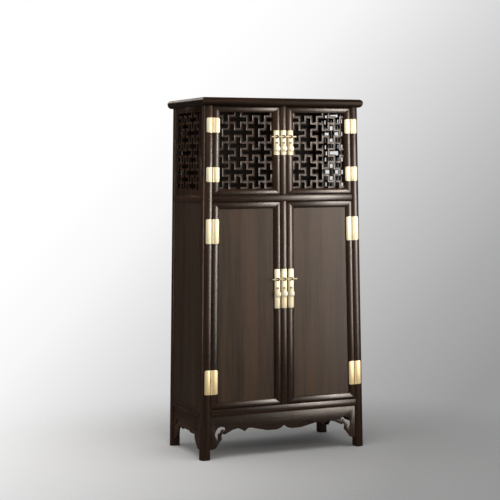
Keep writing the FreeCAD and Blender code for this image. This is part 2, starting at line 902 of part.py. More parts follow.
def side_frame(side_x):
    outline = side_outline(side_low, side_high, 0)
    low = side_low + upper_door_rail
    high = side_high - upper_door_rail
    opening = side_outline(low, high, side_frame_width)
    grown = side_outline(low - groove_depth, high + groove_depth, side_frame_width - groove_depth)
    groove = side_slab(grown, side_x, side_lattice_setback, side_lattice_thickness)
    members = []
    for n in range(4):
        after = (n + 1) % 4
        mitre = [outline[n], outline[after], opening[after], opening[n]]
        members.append(side_slab(mitre, side_x, side_setback, side_frame_thickness).cut(groove).Solids[0])
    return members


def side_lattice(side_x):
    low = side_low + upper_door_rail
    high = side_high - upper_door_rail
    grown = side_outline(low - tongue_depth, high + tongue_depth, side_frame_width - tongue_depth)
    plate = side_slab(grown, side_x, side_lattice_setback, side_lattice_thickness)
    hidden = lattice_hidden_edge
    window = side_prism(
        side_outline(low - hidden, high + hidden, side_frame_width - hidden), -foot_width, foot_width
    )
    first_s = side_bay_half((low + high) / 2) - side_frame_width - side_lattice_margin
    first_t = high - lattice_top_margin
    last_t = low + lattice_bottom_margin
    pitch_s = -2 * first_s / lattice_columns
    pitch_t = (first_t - last_t) / lattice_rows
    holes = cross_holes(side_prism, first_s, first_t, pitch_s, pitch_t, -foot_width, foot_width)
    cut = [part for hole in holes for part in hole.common(window).Solids]
    return plate.cut(cut).removeSplitter().Solids[0]


board_low = bottom_rail_top - side_drop
board_high = middle_rail_bottom - side_drop
for side_x, side_name in ((-1, "left"), (1, "right")):
    save("side_frame_" + side_name, *side_frame(side_x))
    save("side_lattice_" + side_name, side_lattice(side_x))
    outline = side_outline(board_low, board_high, 0)
    save("side_board_" + side_name, side_slab(outline, side_x, side_board_setback, side_board_thickness))

# Back panels stand between the back posts and the rails


def back_slab(z0, z1, setback, thickness):
    y0 = half_depth(z0) - setback
    y1 = half_depth(z1) - setback
    points = [(y0, z0), (y1, z1), (y1 - thickness, z1), (y0 - thickness, z0)]
    return side_prism(points, -foot_width, foot_width).common(bay_prism(z0, z1))


save("back_panel_upper", back_slab(middle_rail_top, cap_bottom, back_setback, back_thickness))
save("back_panel_lower", back_slab(bottom_rail_top, middle_rail_bottom, back_setback, back_thickness))


# Boards inside, notched round the posts


def inner_board(z0, front_inset, side_inset, back_inset):
    z1 = z0 + board_thickness
    faces = []
    for z in (z0, z1):
        x = half_width(z) - side_inset
        front = -half_depth(z) + front_inset
        back = half_depth(z) - back_inset
        faces.append(
            Part.makePolygon(
                [
                    Vector(-x, front, z),
                    Vector(x, front, z),
                    Vector(x, back, z),
                    Vector(-x, back, z),
                    Vector(-x, front, z),
                ]
            )
        )
    board = Part.makeLoft(faces, True, True)
    return board.cut(posts).Solids[0]


bottom_board_low = bottom_rail_top - board_thickness - side_drop
panel_back = side_board_setback + side_board_thickness
panel_depth = back_setback + back_thickness
save("bottom_board", inner_board(bottom_board_low, rail_depth, rail_depth, rail_depth))
save("middle_board", inner_board(middle_rail_bottom, rail_depth, rail_depth, rail_depth))
save("shelf", inner_board(shelf_height, rail_depth, panel_back, panel_depth))


def bearer(side_x):
    points = side_outline(shelf_height - bearer_height, shelf_height, 0)
    return side_slab(points, side_x, panel_back, bearer_thickness)


save("shelf_bearers", bearer(-1), bearer(1))

# Aprons
side_board = right_apron()
back_low = bottom_rail_bottom - back_apron_height
save("apron_front", front_apron())
save("aprons_side", side_board, mirrored(side_board, across))
save("apron_back", back_slab(back_low, bottom_rail_bottom, apron_setback, apron_thickness))

# Doors, their hinges and their plates. Each is drawn on the right and mirrored for the left.
tiers = {
    "upper": {
        "low": middle_rail_top + door_rail_gap,
        "high": cap_bottom - door_top_gap,
        "rail": upper_door_rail,
        "hinge_height": upper_hinge_height,
        "hinge_insets": upper_hinge_insets,
        "plate_top": cap_bottom - upper_plate_drop,
        "plate_height": upper_plate_height,
        "bar_drop": upper_bar_drop,
        "pull_drop": upper_pull_drop,
        "pull": (upper_bail_drop, upper_pull_length, upper_pull_radius, upper_pull_shares),
    },
    "lower": {
        "low": bottom_rail_top + door_rail_gap,
        "high": middle_rail_bottom - door_rail_gap,
        "rail": lower_door_rail,
        "hinge_height": lower_hinge_height,
        "hinge_insets": lower_hinge_insets,
        "plate_top": middle_rail_bottom - lower_plate_drop,
        "plate_height": lower_plate_height,
        "bar_drop": lower_bar_drop,
        "pull_drop": lower_pull_drop,
        "pull": (lower_bail_drop, lower_pull_length, lower_pull_radius, lower_pull_shares),
    },
}
seats = []
upright_plates = []
for tier, t in tiers.items():
    low, high, rail = t["low"], t["high"], t["rail"]
    if tier == "upper":
        frame = door_frame(low, high, rail, lattice_setback, lattice_thickness)
        infill = door_lattice(low, high, rail)
        infill_name = "lattice"
    else:
        frame = door_frame(low, high, rail, panel_setback, panel_thickness)
        infill = door_panel(low, high, rail)
        infill_name = "panel"
    leaves = []
    low_inset, high_inset = t["hinge_insets"]
    for z in (low + low_inset, high - high_inset):
        seat, leaf = hinge(z, t["hinge_height"])
        seats.append(seat)
        leaves.append(leaf)
    bar_z = t["plate_top"] - t["bar_drop"]
    pull_z = t["plate_top"] - t["pull_drop"]
    plate_values = (t["plate_top"], t["plate_height"], t["bar_drop"], t["pull_drop"])
    plate_x = inner_edge + upright_half
    plate = lock_plate(plate_x, *plate_values)
    upright_plates.append(lock_plate(0, *plate_values))
    for side_name in ("left", "right"):
        door = "door_" + tier + "_" + side_name
        flip = side_name == "left"
        pieces = [mirrored(s, across) if flip else s for s in frame]
        save(door + "_frame", *pieces)
        save(door + "_" + infill_name, mirrored(infill, across) if flip else infill)
        turning = [mirrored(s, across) if flip else s for s in leaves]
        save("hinge_leaves_" + tier + "_" + side_name, *turning)
        save("lock_plate_" + tier + "_" + side_name, mirrored(plate, across) if flip else plate)
    for place, x in (("left", -plate_x), ("middle", 0), ("right", plate_x)):
        save("pull_" + tier + "_" + place, drop_pull(x, pull_z, *t["pull"]))
    save("lock_bar_" + tier, lock_bar(bar_z))

save("hinge_seats_right", *seats)
save("hinge_seats_left", *[mirrored(s, across) for s in seats])
save("lock_plates_middle", *upright_plates)
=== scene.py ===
import math

import bmesh
import bpy
from mathutils import Matrix, Vector
from mathutils.bvhtree import BVHTree


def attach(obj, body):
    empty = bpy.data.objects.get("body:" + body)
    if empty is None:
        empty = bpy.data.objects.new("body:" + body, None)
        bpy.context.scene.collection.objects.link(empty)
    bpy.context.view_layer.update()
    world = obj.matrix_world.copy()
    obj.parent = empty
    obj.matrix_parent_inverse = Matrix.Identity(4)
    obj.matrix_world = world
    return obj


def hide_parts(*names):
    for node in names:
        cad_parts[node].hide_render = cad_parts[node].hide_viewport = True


# A tall dark wooden cabinet: lattice doors above, panelled doors below, pale brass hinges, plates and pulls.
# Metres. X runs along the front, Y to the back, Z up.

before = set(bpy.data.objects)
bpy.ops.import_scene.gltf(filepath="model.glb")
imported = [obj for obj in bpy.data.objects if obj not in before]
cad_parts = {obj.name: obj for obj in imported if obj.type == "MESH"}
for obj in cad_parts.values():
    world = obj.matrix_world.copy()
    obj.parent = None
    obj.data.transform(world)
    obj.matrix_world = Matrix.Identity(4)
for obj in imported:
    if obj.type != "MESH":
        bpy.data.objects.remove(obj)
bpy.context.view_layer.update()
print("frame loaded")

# The carcass, as the frame has it
cabinet = {
    "height": 1.800,
    "footWidth": 0.9145,
    "headWidth": 0.852,
    "footDepth": 0.473,
    "headDepth": 0.457,
    "capThickness": 0.041,
    "capOverhang": 0.0175,
    "postSize": 0.0465,
    "beadRise": 0.004,
    "beadSteps": 12,
    "arris": 0.0026,
    "arrisSteps": 3,
    "stileWidth": 0.036,
    "cornerStart": 0.0345,
    "middleRailTop": 1.3185,
    "middleRailHeight": 0.0355,
    "bottomRailTop": 0.2525,
    "bottomRailHeight": 0.038,
    "railDepth": 0.030,
    "sideDrop": 0.004,
    "within": 0.00001,  # how far the cap and the feet stay inside the solids
}
capBottom = cabinet["height"] - cabinet["capThickness"]
leanX = (cabinet["footWidth"] - cabinet["headWidth"]) / 2 / capBottom
leanY = (cabinet["footDepth"] - cabinet["headDepth"]) / 2 / capBottom
middleLow = cabinet["middleRailTop"] - cabinet["middleRailHeight"]
bottomLow = cabinet["bottomRailTop"] - cabinet["bottomRailHeight"]
postSize = cabinet["postSize"]
stileWidth = cabinet["stileWidth"]
beadRise = cabinet["beadRise"]
beadRadius = (stileWidth**2 / 4 + beadRise**2) / (2 * beadRise)

# Directions: straight up, up the leaning front, side and corner, and square inwards from the front and side
zUp = Vector((0, 0, 1))
frontUp = Vector((0, leanY, 1))
sideUp = Vector((-leanX, 0, 1))
cornerUp = Vector((-leanX, leanY, 1))
frontInward = Vector((0, 1, -leanY))
sideInward = Vector((-1, 0, -leanX))

# Every moulding is made this long, then cut to its place
roughLow, roughHigh = -0.5, 2.5

# Distances below which points count as the same, and the bend, in degrees, below which faces count as flat
tiny = {"cut": 1e-7, "match": 1e-6, "merge": 2e-6, "bend": 0.6}


def halfWidth(z):
    return cabinet["footWidth"] / 2 - leanX * z


def halfDepth(z):
    return cabinet["footDepth"] / 2 - leanY * z


def bayHalf(z):
    return halfWidth(z) - postSize


def sideBayHalf(z):
    return halfDepth(z) - postSize


def tone(colour):
    return tuple(colour) + (1,)


# Shader maths on sockets
class Wire:
    def __init__(self, maker, socket):
        self.maker = maker
        self.socket = socket

    def sum(self, kind, a, b, clamp=False):
        return self.maker.node("ShaderNodeMath", {"operation": kind, "use_clamp": clamp}, {0: a, 1: b})

    def __add__(self, b):
        return self.sum("ADD", self, b)

    __radd__ = __add__

    def __mul__(self, b):
        return self.sum("MULTIPLY", self, b)

    __rmul__ = __mul__

    def __sub__(self, b):
        return self.sum("SUBTRACT", self, b)

    def __rsub__(self, b):
        return self.sum("SUBTRACT", b, self)

    def clamped(self):
        return self.sum("ADD", self, 0.0, clamp=True)


# Adds nodes to one tree
class Maker:
    def __init__(self, tree):
        self.tree = tree

    def node(self, kind, settings=None, sockets=None, out=0):
        made = self.tree.nodes.new(kind)
        for key, value in (settings or {}).items():
            if key == "stops":
                ramp = made.color_ramp
                while len(ramp.elements) < len(value):
                    ramp.elements.new(0.5)
                for stop, (place, colour) in zip(ramp.elements, value):
                    stop.position = place
                    stop.color = tone(colour)
            else:
                setattr(made, key, value)
        for key, value in (sockets or {}).items():
            if isinstance(value, Wire):
                self.tree.links.new(value.socket, made.inputs[key])
            else:
                made.inputs[key].default_value = value
        return Wire(self, made.outputs[out]) if made.outputs else None

    def between(self, share, a, b):
        return self.node("ShaderNodeMix", {"data_type": "RGBA"}, {0: share, 6: a, 7: b}, out=2)

    def steps(self, value, low, high, start=0.0, end=1.0):
        return self.node(
            "ShaderNodeMapRange",
            {"interpolation_type": "SMOOTHSTEP"},
            {0: value, 1: low, 2: high, 3: start, 4: end},
        )

    def noise(self, at, scale, detail, rough=0.5):
        return self.node(
            "ShaderNodeTexNoise", {}, {"Vector": at, "Scale": scale, "Detail": detail, "Roughness": rough}
        )

    def shifted(self, at, by):
        return self.node("ShaderNodeVectorMath", {"operation": "ADD"}, {0: at, 1: by})

    # How far a point lies along a direction
    def along(self, at, way):
        return self.node("ShaderNodeVectorMath", {"operation": "DOT_PRODUCT"}, {0: at, 1: tuple(way)}, out=1)

    def bumped(self, height, strength, distance):
        return self.node("ShaderNodeBump", {}, {"Strength": strength, "Distance": distance, "Height": height})

    def finished(self, sockets):
        shader = self.node("ShaderNodeBsdfPrincipled", {}, sockets)
        self.node("ShaderNodeOutputMaterial", {}, {"Surface": shader})


def blank(name):
    material = bpy.data.materials.new(name)
    material.use_nodes = True
    material.node_tree.nodes.clear()
    return material, Maker(material.node_tree)


# Wood: grain that runs along one axis, slow streaks of lighter wood, pores, and edges rubbed a little paler
wood = {
    # The dark and the light tone of each finish
    "frame": ((0.0150, 0.0060, 0.0024), (0.0440, 0.0185, 0.0076)),
    "cap": ((0.0060, 0.0028, 0.0014), (0.0190, 0.0088, 0.0042)),
    # near-black wood for the lattice walls: painted shade
    "paintedShade": ((0.0030, 0.0014, 0.0007), (0.0080, 0.0040, 0.0022)),
    "panel": ((0.0260, 0.0128, 0.0058), (0.0660, 0.0345, 0.0165)),
    "side": ((0.0260, 0.0155, 0.0090), (0.0440, 0.0260, 0.0155)),
    # inside: near-black, painted shade for the inside of the carcass
    "inside": ((0.0080, 0.0042, 0.0023), (0.0190, 0.0105, 0.0058)),
    "flame": (0.0780, 0.0320, 0.0120),
    "rubbed": (0.060, 0.034, 0.020),
    # The patterns, from fine to broad
    "poreScale": 520.0,
    "grainScale": 95.0,
    "polishScale": 38.0,
    "flameScale": 21.0,
    "streakScale": 13.0,
    "cloudScale": 3.1,
    "bendScale": 2.6,
    "stretch": 0.035,
    "waver": 0.010,
    "flameShift": (3.7, 5.1, 2.3),
    # Where each pattern starts and is full
    "paleRange": (0.38, 0.66),
    "flameRange": (0.50, 0.68),
    "poreRange": (0.56, 0.70),
    "edgeRange": (0.52, 0.62),
    "wearRange": (0.35, 0.60),
    "poreShare": 0.45,
    "poreTone": 0.35,
    "relief": 0.0006,
}


# along is the axis that the grain runs on: 0, 1 or 2.
def woodMaterial(name, along, tones, rough=0.29, bump=0.05, rub=0.45, level=0.6, flame=0.12):
    dark, light = wood[tones]
    material, maker = blank(name)
    at = maker.node("ShaderNodeTexCoord", out=3)
    bend = maker.noise(at, wood["bendScale"], 2.0) * wood["waver"]
    drift = maker.node("ShaderNodeCombineXYZ", {}, {0: bend, 1: bend, 2: 0.0})
    squeeze = [1.0, 1.0, 1.0]
    squeeze[along] = wood["stretch"]
    grainAt = maker.node("ShaderNodeMapping", {}, {"Vector": maker.shifted(at, drift), "Scale": squeeze})
    streak = maker.noise(grainAt, wood["streakScale"], 3.0, 0.55)
    grain = maker.noise(grainAt, wood["grainScale"], 4.0, 0.6)
    cloud = maker.noise(at, wood["cloudScale"], 2.0)
    pale = maker.steps(streak * 0.62 + grain * 0.28 + cloud * 0.10, *wood["paleRange"])
    colour = maker.between(pale, tone(dark), tone(light))
    tongues = maker.noise(maker.shifted(grainAt, wood["flameShift"]), wood["flameScale"], 2.0)
    colour = maker.between(maker.steps(tongues, *wood["flameRange"]) * flame, colour, tone(wood["flame"]))
    pores = maker.steps(maker.noise(grainAt, wood["poreScale"], 2.0), *wood["poreRange"])
    poreColour = tone([c * wood["poreTone"] for c in dark])
    colour = maker.between(pores * wood["poreShare"], colour, poreColour)
    edge = maker.steps(maker.node("ShaderNodeNewGeometry", out=7), *wood["edgeRange"])
    rubbed = edge * maker.steps(grain, *wood["wearRange"]) * rub
    colour = maker.between(rubbed, colour, tone(wood["rubbed"]))
    polish = maker.noise(at, wood["polishScale"], 3.0)
    gloss = rough + (polish - 0.5) * 0.10 + (grain - 0.5) * 0.08 + pores * 0.10
    height = grain * 0.5 + (1 - pores) * 0.5
    relief = maker.bumped(height, bump, wood["relief"])
    maker.finished({"Base Color": colour, "Roughness": gloss, "Normal": relief, "Specular IOR Level": level})
    return material


# Brass: satin, browner in its hollows, with fine scratches, and browned towards the foot of the cabinet as
# painted shade
brass = {
    # The pale and the deep tone of each finish
    "satin": ((0.98, 0.87, 0.61), (0.92, 0.70, 0.34)),
    "drop": ((1.0, 0.93, 0.74), (0.92, 0.79, 0.50)),
    # dark brown brass: painted shade on the eyes and their discs; the nail heads take it too
    "brassShade": ((0.15, 0.108, 0.036), (0.065, 0.044, 0.015)),
    "rough": 0.50,
    "metal": 0.55,
    "dropMetal": 0.25,
    "footShadeFrom": 0.15,
    "footShadeTo": 0.85,
    "footShade": 0.85,
    "cloudScale": 26.0,
    "speckScale": 210.0,
    "brushScale": 900.0,
    "brushStretch": 0.04,
    "hollowRange": (0.40, 0.50),
    "relief": 0.0004,
    "bump": 0.08,
}


def brassMaterial(name, tones, metal):
    pale, deep = brass[tones]
    material, maker = blank(name)
    at = maker.node("ShaderNodeTexCoord", out=3)
    cloud = maker.noise(at, brass["cloudScale"], 4.0, 0.6)
    speck = maker.noise(at, brass["speckScale"], 3.0)
    brushAt = maker.node("ShaderNodeMapping", {}, {"Vector": at, "Scale": (1.0, 1.0, brass["brushStretch"])})
    brush = maker.noise(brushAt, brass["brushScale"], 2.0)
    hollow = 1 - maker.steps(maker.node("ShaderNodeNewGeometry", out=7), *brass["hollowRange"])
    height = maker.node("ShaderNodeSeparateXYZ", {}, {0: at}, out=2)
    # Painted shade: from 0.85 m down to 0.15 m the brass turns browner
    footShade = maker.steps(height, brass["footShadeFrom"], brass["footShadeTo"], brass["footShade"], 0.0)
    spots = maker.steps(cloud, 0.50, 0.72) * 0.30 + maker.steps(speck, 0.60, 0.74) * 0.25
    tarnishAndShade = (spots + hollow * 0.6 + footShade).clamped()
    colour = maker.between(tarnishAndShade, tone(pale), tone(deep))
    gloss = brass["rough"] + (cloud - 0.5) * 0.16 + (brush - 0.5) * 0.10 + hollow * 0.2
    relief = maker.bumped(brush * 0.6 + speck * 0.4, brass["bump"], brass["relief"])
    maker.finished({"Base Color": colour, "Roughness": gloss, "Metallic": metal, "Normal": relief})
    return material


frameWood = {
    "across": woodMaterial("frameWoodAcross", 0, "frame", level=0.65),
    "deep": woodMaterial("frameWoodDeep", 1, "frame"),
    "upright": woodMaterial("frameWoodUpright", 2, "frame"),
}
capWood = {
    "across": woodMaterial("capWoodAcross", 0, "cap", rough=0.34, rub=0.2, level=0.09),
    "deep": woodMaterial("capWoodDeep", 1, "cap", rough=0.30, rub=0.2, level=0.4),
}
# Painted shade: the boards inside the carcass are near-black
paintedShadeInsideWood = {
    "across": woodMaterial("paintedShadeInsideAcross", 0, "inside", rough=0.55, rub=0.1, level=0.3),
    "deep": woodMaterial("paintedShadeInsideDeep", 1, "inside", rough=0.55, rub=0.1, level=0.3),
}
panelWood = woodMaterial("panelWood", 2, "panel", rough=0.35, bump=0.02, rub=0.2, level=0.31, flame=0.6)
sideWood = woodMaterial("sideWood", 2, "side", rough=0.48, rub=0.2, level=0.25)
# Painted shade: the back panels take the cap's dark tones so the inside looks dark through the lattices
paintedShadeBackWood = woodMaterial("paintedShadeBackWood", 2, "cap", rough=0.6, rub=0.1, level=0.15)
latticeWood = woodMaterial("latticeWood", 2, "frame", rough=0.28, rub=0.6, level=0.45)
# Painted shade: near-black wood on the walls of the lattice bars
paintedShadeWood = woodMaterial("paintedShadeWood", 2, "paintedShade", rough=0.6, rub=0.0, level=0.1, flame=0.0)
satinBrass = brassMaterial("satinBrass", "satin", brass["metal"])
# Painted shade: dark brass for the eyes, discs, knuckle strips and nail heads
paintedShadeBrass = brassMaterial("paintedShadeBrass", "brassShade", brass["dropMetal"])
paleBrass = brassMaterial("paleBrass", "drop", brass["dropMetal"])
print("materials made")


# Puts a bmesh into the scene as one piece that stands for the CAD nodes.
def finish(name, bm, material, body, nodes, angle=32.0):
    bmesh.ops.recalc_face_normals(bm, faces=bm.faces[:])
    mesh = bpy.data.meshes.new(name)
    bm.to_mesh(mesh)
    bm.free()
    mesh.shade_smooth()
    mesh.set_sharp_from_angle(angle=math.radians(angle))
    piece = bpy.data.objects.new(name, mesh)
    bpy.context.scene.collection.objects.link(piece)
    for one in material if isinstance(material, list) else [material]:
        mesh.materials.append(one)
    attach(piece, body)
    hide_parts(*nodes)


def facedOut(part):
    bmesh.ops.recalc_face_normals(part, faces=part.faces[:])
    return part


def moveBy(part, x, y, z):
    bmesh.ops.translate(part, verts=part.verts[:], vec=(x, y, z))
    return part


def scaleBy(part, x, y, z):
    bmesh.ops.scale(part, verts=part.verts[:], vec=(x, y, z))
    return part


def mirrored(part):
    scaleBy(part, -1, 1, 1)
    bmesh.ops.reverse_faces(part, faces=part.faces[:])
    return part


# Adds one bmesh to another as it is.
def joined(target, part):
    mesh = bpy.data.meshes.new("passing")
    part.to_mesh(mesh)
    target.from_mesh(mesh)
    bpy.data.meshes.remove(mesh)
    part.free()


# Adds one bmesh to another in one of its materials, mirrored to the other side if asked.
def merged(target, part, flip=False, slotNumber=0):
    if flip:
        mirrored(part)
    for face in part.faces:
        face.material_index = slotNumber
    joined(target, part)


# Cuts all of a shape by one plane.
def cutBy(part, point, away, clear):
    everything = part.verts[:] + part.edges[:] + part.faces[:]
    return bmesh.ops.bisect_plane(
        part, geom=everything, dist=tiny["cut"], plane_co=point, plane_no=away, clear_outer=clear
    )


# Trims a closed shape by planes, each a point and the direction that goes.
def trimmed(part, planes):
    for point, away in planes:
        cut = cutBy(part, point, away, True)
        edges = [g for g in cut["geom_cut"] if isinstance(g, bmesh.types.BMEdge)]
        bmesh.ops.holes_fill(part, edges=edges, sides=0)
    return facedOut(part)


# The planes of a shape that ends level at two heights.
def levelCuts(low, high):
    return [(zUp * low, -zUp), (zUp * high, zUp)]


# Rounds the sharp edges.
def eased(part, offset, segments=2, angle=35.0, chosen=None):
    limit = math.radians(angle)
    edges = []
    for edge in part.edges:
        if len(edge.link_faces) == 2 and edge.calc_face_angle(0) > limit:
            if chosen is None or chosen(edge):
                edges.append(edge)
    bmesh.ops.bevel(
        part,
        geom=edges,
        offset=offset,
        offset_type="OFFSET",
        segments=segments,
        profile=0.5,
        affect="EDGES",
        material=-1,
        clamp_overlap=True,
    )
    return part


# Carries a point round an axis, which leaves a row of points, and returns the last of them.
def arc(part, point, centre, angle, steps, axis=(0, 0, 1)):
    bmesh.ops.spin(part, geom=[point], cent=centre, axis=axis, angle=angle, steps=steps)
    return part.verts[:][-1]


# Pushes faces out into a solid.
def pushed(part, faces, vec):
    run = bmesh.ops.extrude_face_region(part, geom=faces)
    ends = [g for g in run["geom"] if isinstance(g, bmesh.types.BMVert)]
    bmesh.ops.translate(part, verts=ends, vec=vec)
    return facedOut(part)


# A rough bar along Z whose front, towards -Y, is convex. Its crown is the Z axis.
def beadBar(width, depth):
    half = width / 2
    radius = (half**2 + beadRise**2) / (2 * beadRise)
    part = bmesh.new()
    left = part.verts.new((-half, beadRise, roughLow))
    arc(part, left, (0, radius, 0), 2 * math.asin(half / radius), cabinet["beadSteps"])
    ring = part.verts[:]
    ring.append(part.verts.new((half, depth, roughLow)))
    ring.append(part.verts.new((-half, depth, roughLow)))
    pushed(part, [part.faces.new(ring)], (0, 0, roughHigh - roughLow))

    def atArris(v):
        return abs(abs(v.co.x) - half) < tiny["match"] and abs(v.co.y - beadRise) < tiny["match"]

    return eased(part, cabinet["arris"], cabinet["arrisSteps"], chosen=lambda e: all(map(atArris, e.verts)))


# Stands a shape that was drawn upright on a leaning line.
def stand(part, origin, up):
    turn = zUp.rotation_difference(up).to_matrix().to_4x4()
    part.transform(Matrix.Translation(origin) @ turn)
    return part


def onFront(part):
    return stand(part, Vector((0, -halfDepth(0), 0)), frontUp)


def onCorner(part):
    return stand(part, Vector((bayHalf(0), -sideBayHalf(0), 0)), cornerUp)


# Lays an upright bar down on a leaning face of the cabinet.
def laid(part, up, inward, place):
    rise, deep = up.normalized(), inward.normalized()
    turn = Matrix((rise, deep, rise.cross(deep))).transposed().to_4x4()
    part.transform(Matrix.Translation(place) @ turn)
    return part


# A copy of a CAD node with its loose triangles joined into flat faces.
def nodeCopy(node):
    part = bmesh.new()
    part.from_mesh(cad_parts[node].data)
    bmesh.ops.remove_doubles(part, verts=part.verts[:], dist=tiny["merge"])
    bmesh.ops.dissolve_limit(
        part,
        angle_limit=math.radians(tiny["bend"]),
        use_dissolve_boundaries=False,
        verts=part.verts[:],
        edges=part.edges[:],
    )
    return part


# Posts: two convex faces that meet in a round outer corner
post = {"steps": 8, "cornerSteps": 5, "ease": 0.0007}


# The back right post. It is drawn upright with its inner corner on the Z axis.
def makePost():
    half = stileWidth / 2
    flat = cabinet["cornerStart"]
    start = math.asin((flat - half) / beadRadius)
    sweep = math.asin(half / beadRadius) + start
    edgeDepth = postSize - beadRise
    part = bmesh.new()
    first = part.verts.new((edgeDepth, 0, roughLow))
    near = arc(part, first, (postSize - beadRadius, half, 0), sweep, post["steps"])
    face = postSize - beadRadius * (1 - math.cos(start))
    chord = (Vector((face, flat, 0)) - Vector((flat, face, 0))).length
    cornerSweep = math.pi / 2 - 2 * start
    cornerRadius = chord / 2 / math.sin(cornerSweep / 2)
    inward = Vector((math.cos(start), math.sin(start), 0)) * cornerRadius
    far = arc(part, near, near.co - inward, cornerSweep, post["cornerSteps"])
    arc(part, far, (half, postSize - beadRadius, 0), sweep, post["steps"])
    ring = part.verts[:]
    ring.append(part.verts.new((0, 0, roughLow)))
    pushed(part, [part.faces.new(ring)], (0, 0, roughHigh - roughLow))

    def atArris(v):
        low, high = sorted(v.co.xy)
        return low < tiny["match"] and abs(high - edgeDepth) < tiny["match"]

    eased(part, cabinet["arris"], cabinet["arrisSteps"], chosen=lambda e: all(map(atArris, e.verts)))
    stand(part, Vector((bayHalf(0), sideBayHalf(0), 0)), Vector((-leanX, -leanY, 1)))
    return eased(trimmed(part, levelCuts(cabinet["within"], capBottom)), post["ease"])


for sideY, deepName in ((1, "back"), (-1, "front")):
    for sideX, sideName in ((1, "right"), (-1, "left")):
        part = scaleBy(makePost(), sideX, sideY, 1)
        node = "post_" + deepName + "_" + sideName
        finish(node + ".leg", part, frameWood["upright"], "cabinet", [node])
print("posts made")

# Rails and fixed uprights of the carcass
rail = {"ease": 0.0007}
upright = {"depth": 0.026, "ease": 0.0006}


# A rail along the front or back between the posts.
def longRail(z0, z1, sideY):
    middle = (z0 + z1) / 2
    part = beadBar((z1 - z0) * frontUp.length, cabinet["railDepth"])
    laid(part, frontUp, frontInward, (0, -halfDepth(middle), middle))
    trimmed(part, [(Vector((side * bayHalf(0), 0, 0)), Vector((side, 0, leanX))) for side in (-1, 1)])
    return eased(facedOut(scaleBy(part, 1, -sideY, 1)), rail["ease"])


# A rail along a side between the posts.
def shortRail(z0, z1, sideX):
    middle = (z0 + z1) / 2
    part = beadBar((z1 - z0) * sideUp.length, cabinet["railDepth"])
    laid(part, sideUp, sideInward, (halfWidth(middle), 0, middle))
    trimmed(part, [(Vector((0, side * sideBayHalf(0), 0)), Vector((0, side, leanY))) for side in (-1, 1)])
    return eased(facedOut(scaleBy(part, sideX, 1, 1)), rail["ease"])


for name, z0, z1 in (
    ("middle_rail", middleLow, cabinet["middleRailTop"]),
    ("bottom_rail", bottomLow, cabinet["bottomRailTop"]),
):
    for sideY, place in ((-1, "front"), (1, "back")):
        node = name + "_" + place
        part = longRail(z0, z1, sideY)
        finish(node + ".moulded", part, frameWood["across"], "cabinet", [node])
    both = bmesh.new()
    for sideX in (-1, 1):
        merged(both, shortRail(z0 - cabinet["sideDrop"], z1 - cabinet["sideDrop"], sideX))
    node = name + "s_side"
    finish(node + ".moulded", both, frameWood["deep"], "cabinet", [node])

for tier, z0, z1 in (
    ("upper", cabinet["middleRailTop"], capBottom),
    ("lower", cabinet["bottomRailTop"], middleLow),
):
    part = trimmed(onFront(beadBar(stileWidth, upright["depth"])), levelCuts(z0, z1))
    eased(part, upright["ease"])
    node = "upright_" + tier
    finish(node + ".moulded", part, frameWood["upright"], "cabinet", [node])
print("rails and uprights made")

# Doors: mitred frames of convex mouldings
door = {
    "thickness": 0.026,
    "hingeGap": 0.0015,
    "innerEdge": 0.020,
    "ease": 0.0006,
    "upper": {"low": 1.3200, "high": 1.7565, "rail": 0.028},
    "lower": {"low": 0.2540, "high": 1.2815, "rail": 0.033},
}


def outerEdge(z):
    return bayHalf(z) - door["hingeGap"]


# The corners of a rectangle round the frame: low inner, low outer, high outer, high inner.
def doorCorners(low, high, inset):
    inner = door["innerEdge"] + inset
    outerLow, outerHigh = outerEdge(low) - inset, outerEdge(high) - inset
    return [Vector((x, 0, z)) for x, z in ((inner, low), (outerLow, low), (outerHigh, high), (inner, high))]


# The right-hand frame as four mitred members: bottom rail, outer stile, top rail, inner stile.
def doorFrame(z0, z1, railHeight):
    outer = doorCorners(z0, z1, 0)
    inner = doorCorners(z0 + railHeight, z1 - railHeight, stileWidth)
    members = []
    for n in range(4):
        if n in (0, 2):
            middle = z0 + railHeight / 2 if n == 0 else z1 - railHeight / 2
            part = beadBar(railHeight * frontUp.length, door["thickness"])
            laid(part, frontUp, frontInward, (0, -halfDepth(middle), middle))
        else:
            part = beadBar(stileWidth, door["thickness"])
            if n == 1:
                onCorner(moveBy(part, -door["hingeGap"] - stileWidth / 2, -postSize, 0))
            else:
                onFront(moveBy(part, door["innerEdge"] + stileWidth / 2, 0, 0))
        after = (n + 1) % 4
        inside = (outer[n] + inner[after]) / 2
        planes = []
        for corner in (n, after):
            away = (inner[corner] - outer[corner]).cross(Vector((0, 1, 0))).normalized()
            if away.dot(inside - outer[corner]) > 0:
                away = -away
            planes.append((outer[corner], away))
        members.append(eased(trimmed(part, planes), door["ease"]))
    return members


for tier in ("upper", "lower"):
    size = door[tier]
    for sideName in ("left", "right"):
        both = bmesh.new()
        for n, member in enumerate(doorFrame(size["low"], size["high"], size["rail"])):
            merged(both, member, sideName == "left", slotNumber=n % 2)
        body = "door_" + tier + "_" + sideName
        node = body + "_frame"
        materials = [frameWood["across"], frameWood["upright"]]
        finish(node + ".moulded", both, materials, body, [node])
print("door frames made")

# Lattices: bars with eased arrises and a slightly hollow face, their walls in near-black wood as painted
# shade
lattice = {
    "ease": 0.0008,
    "easeAngle": 60.0,
    "smoothAngle": 8.0,
    "barWidth": 0.012,
    "hollow": 0.0009,
    "columns": 8,
    "rows": 11,
    "innerMargin": 0.0067,
    "outerMargin": 0.020,
    "sideMargin": 0.009,
    "sideFrame": 0.033,
    "topMargin": 0.0203,
    "bottomMargin": 0.0022,
    "frontFacing": 0.99,
    "wallFacing": 0.3,
}
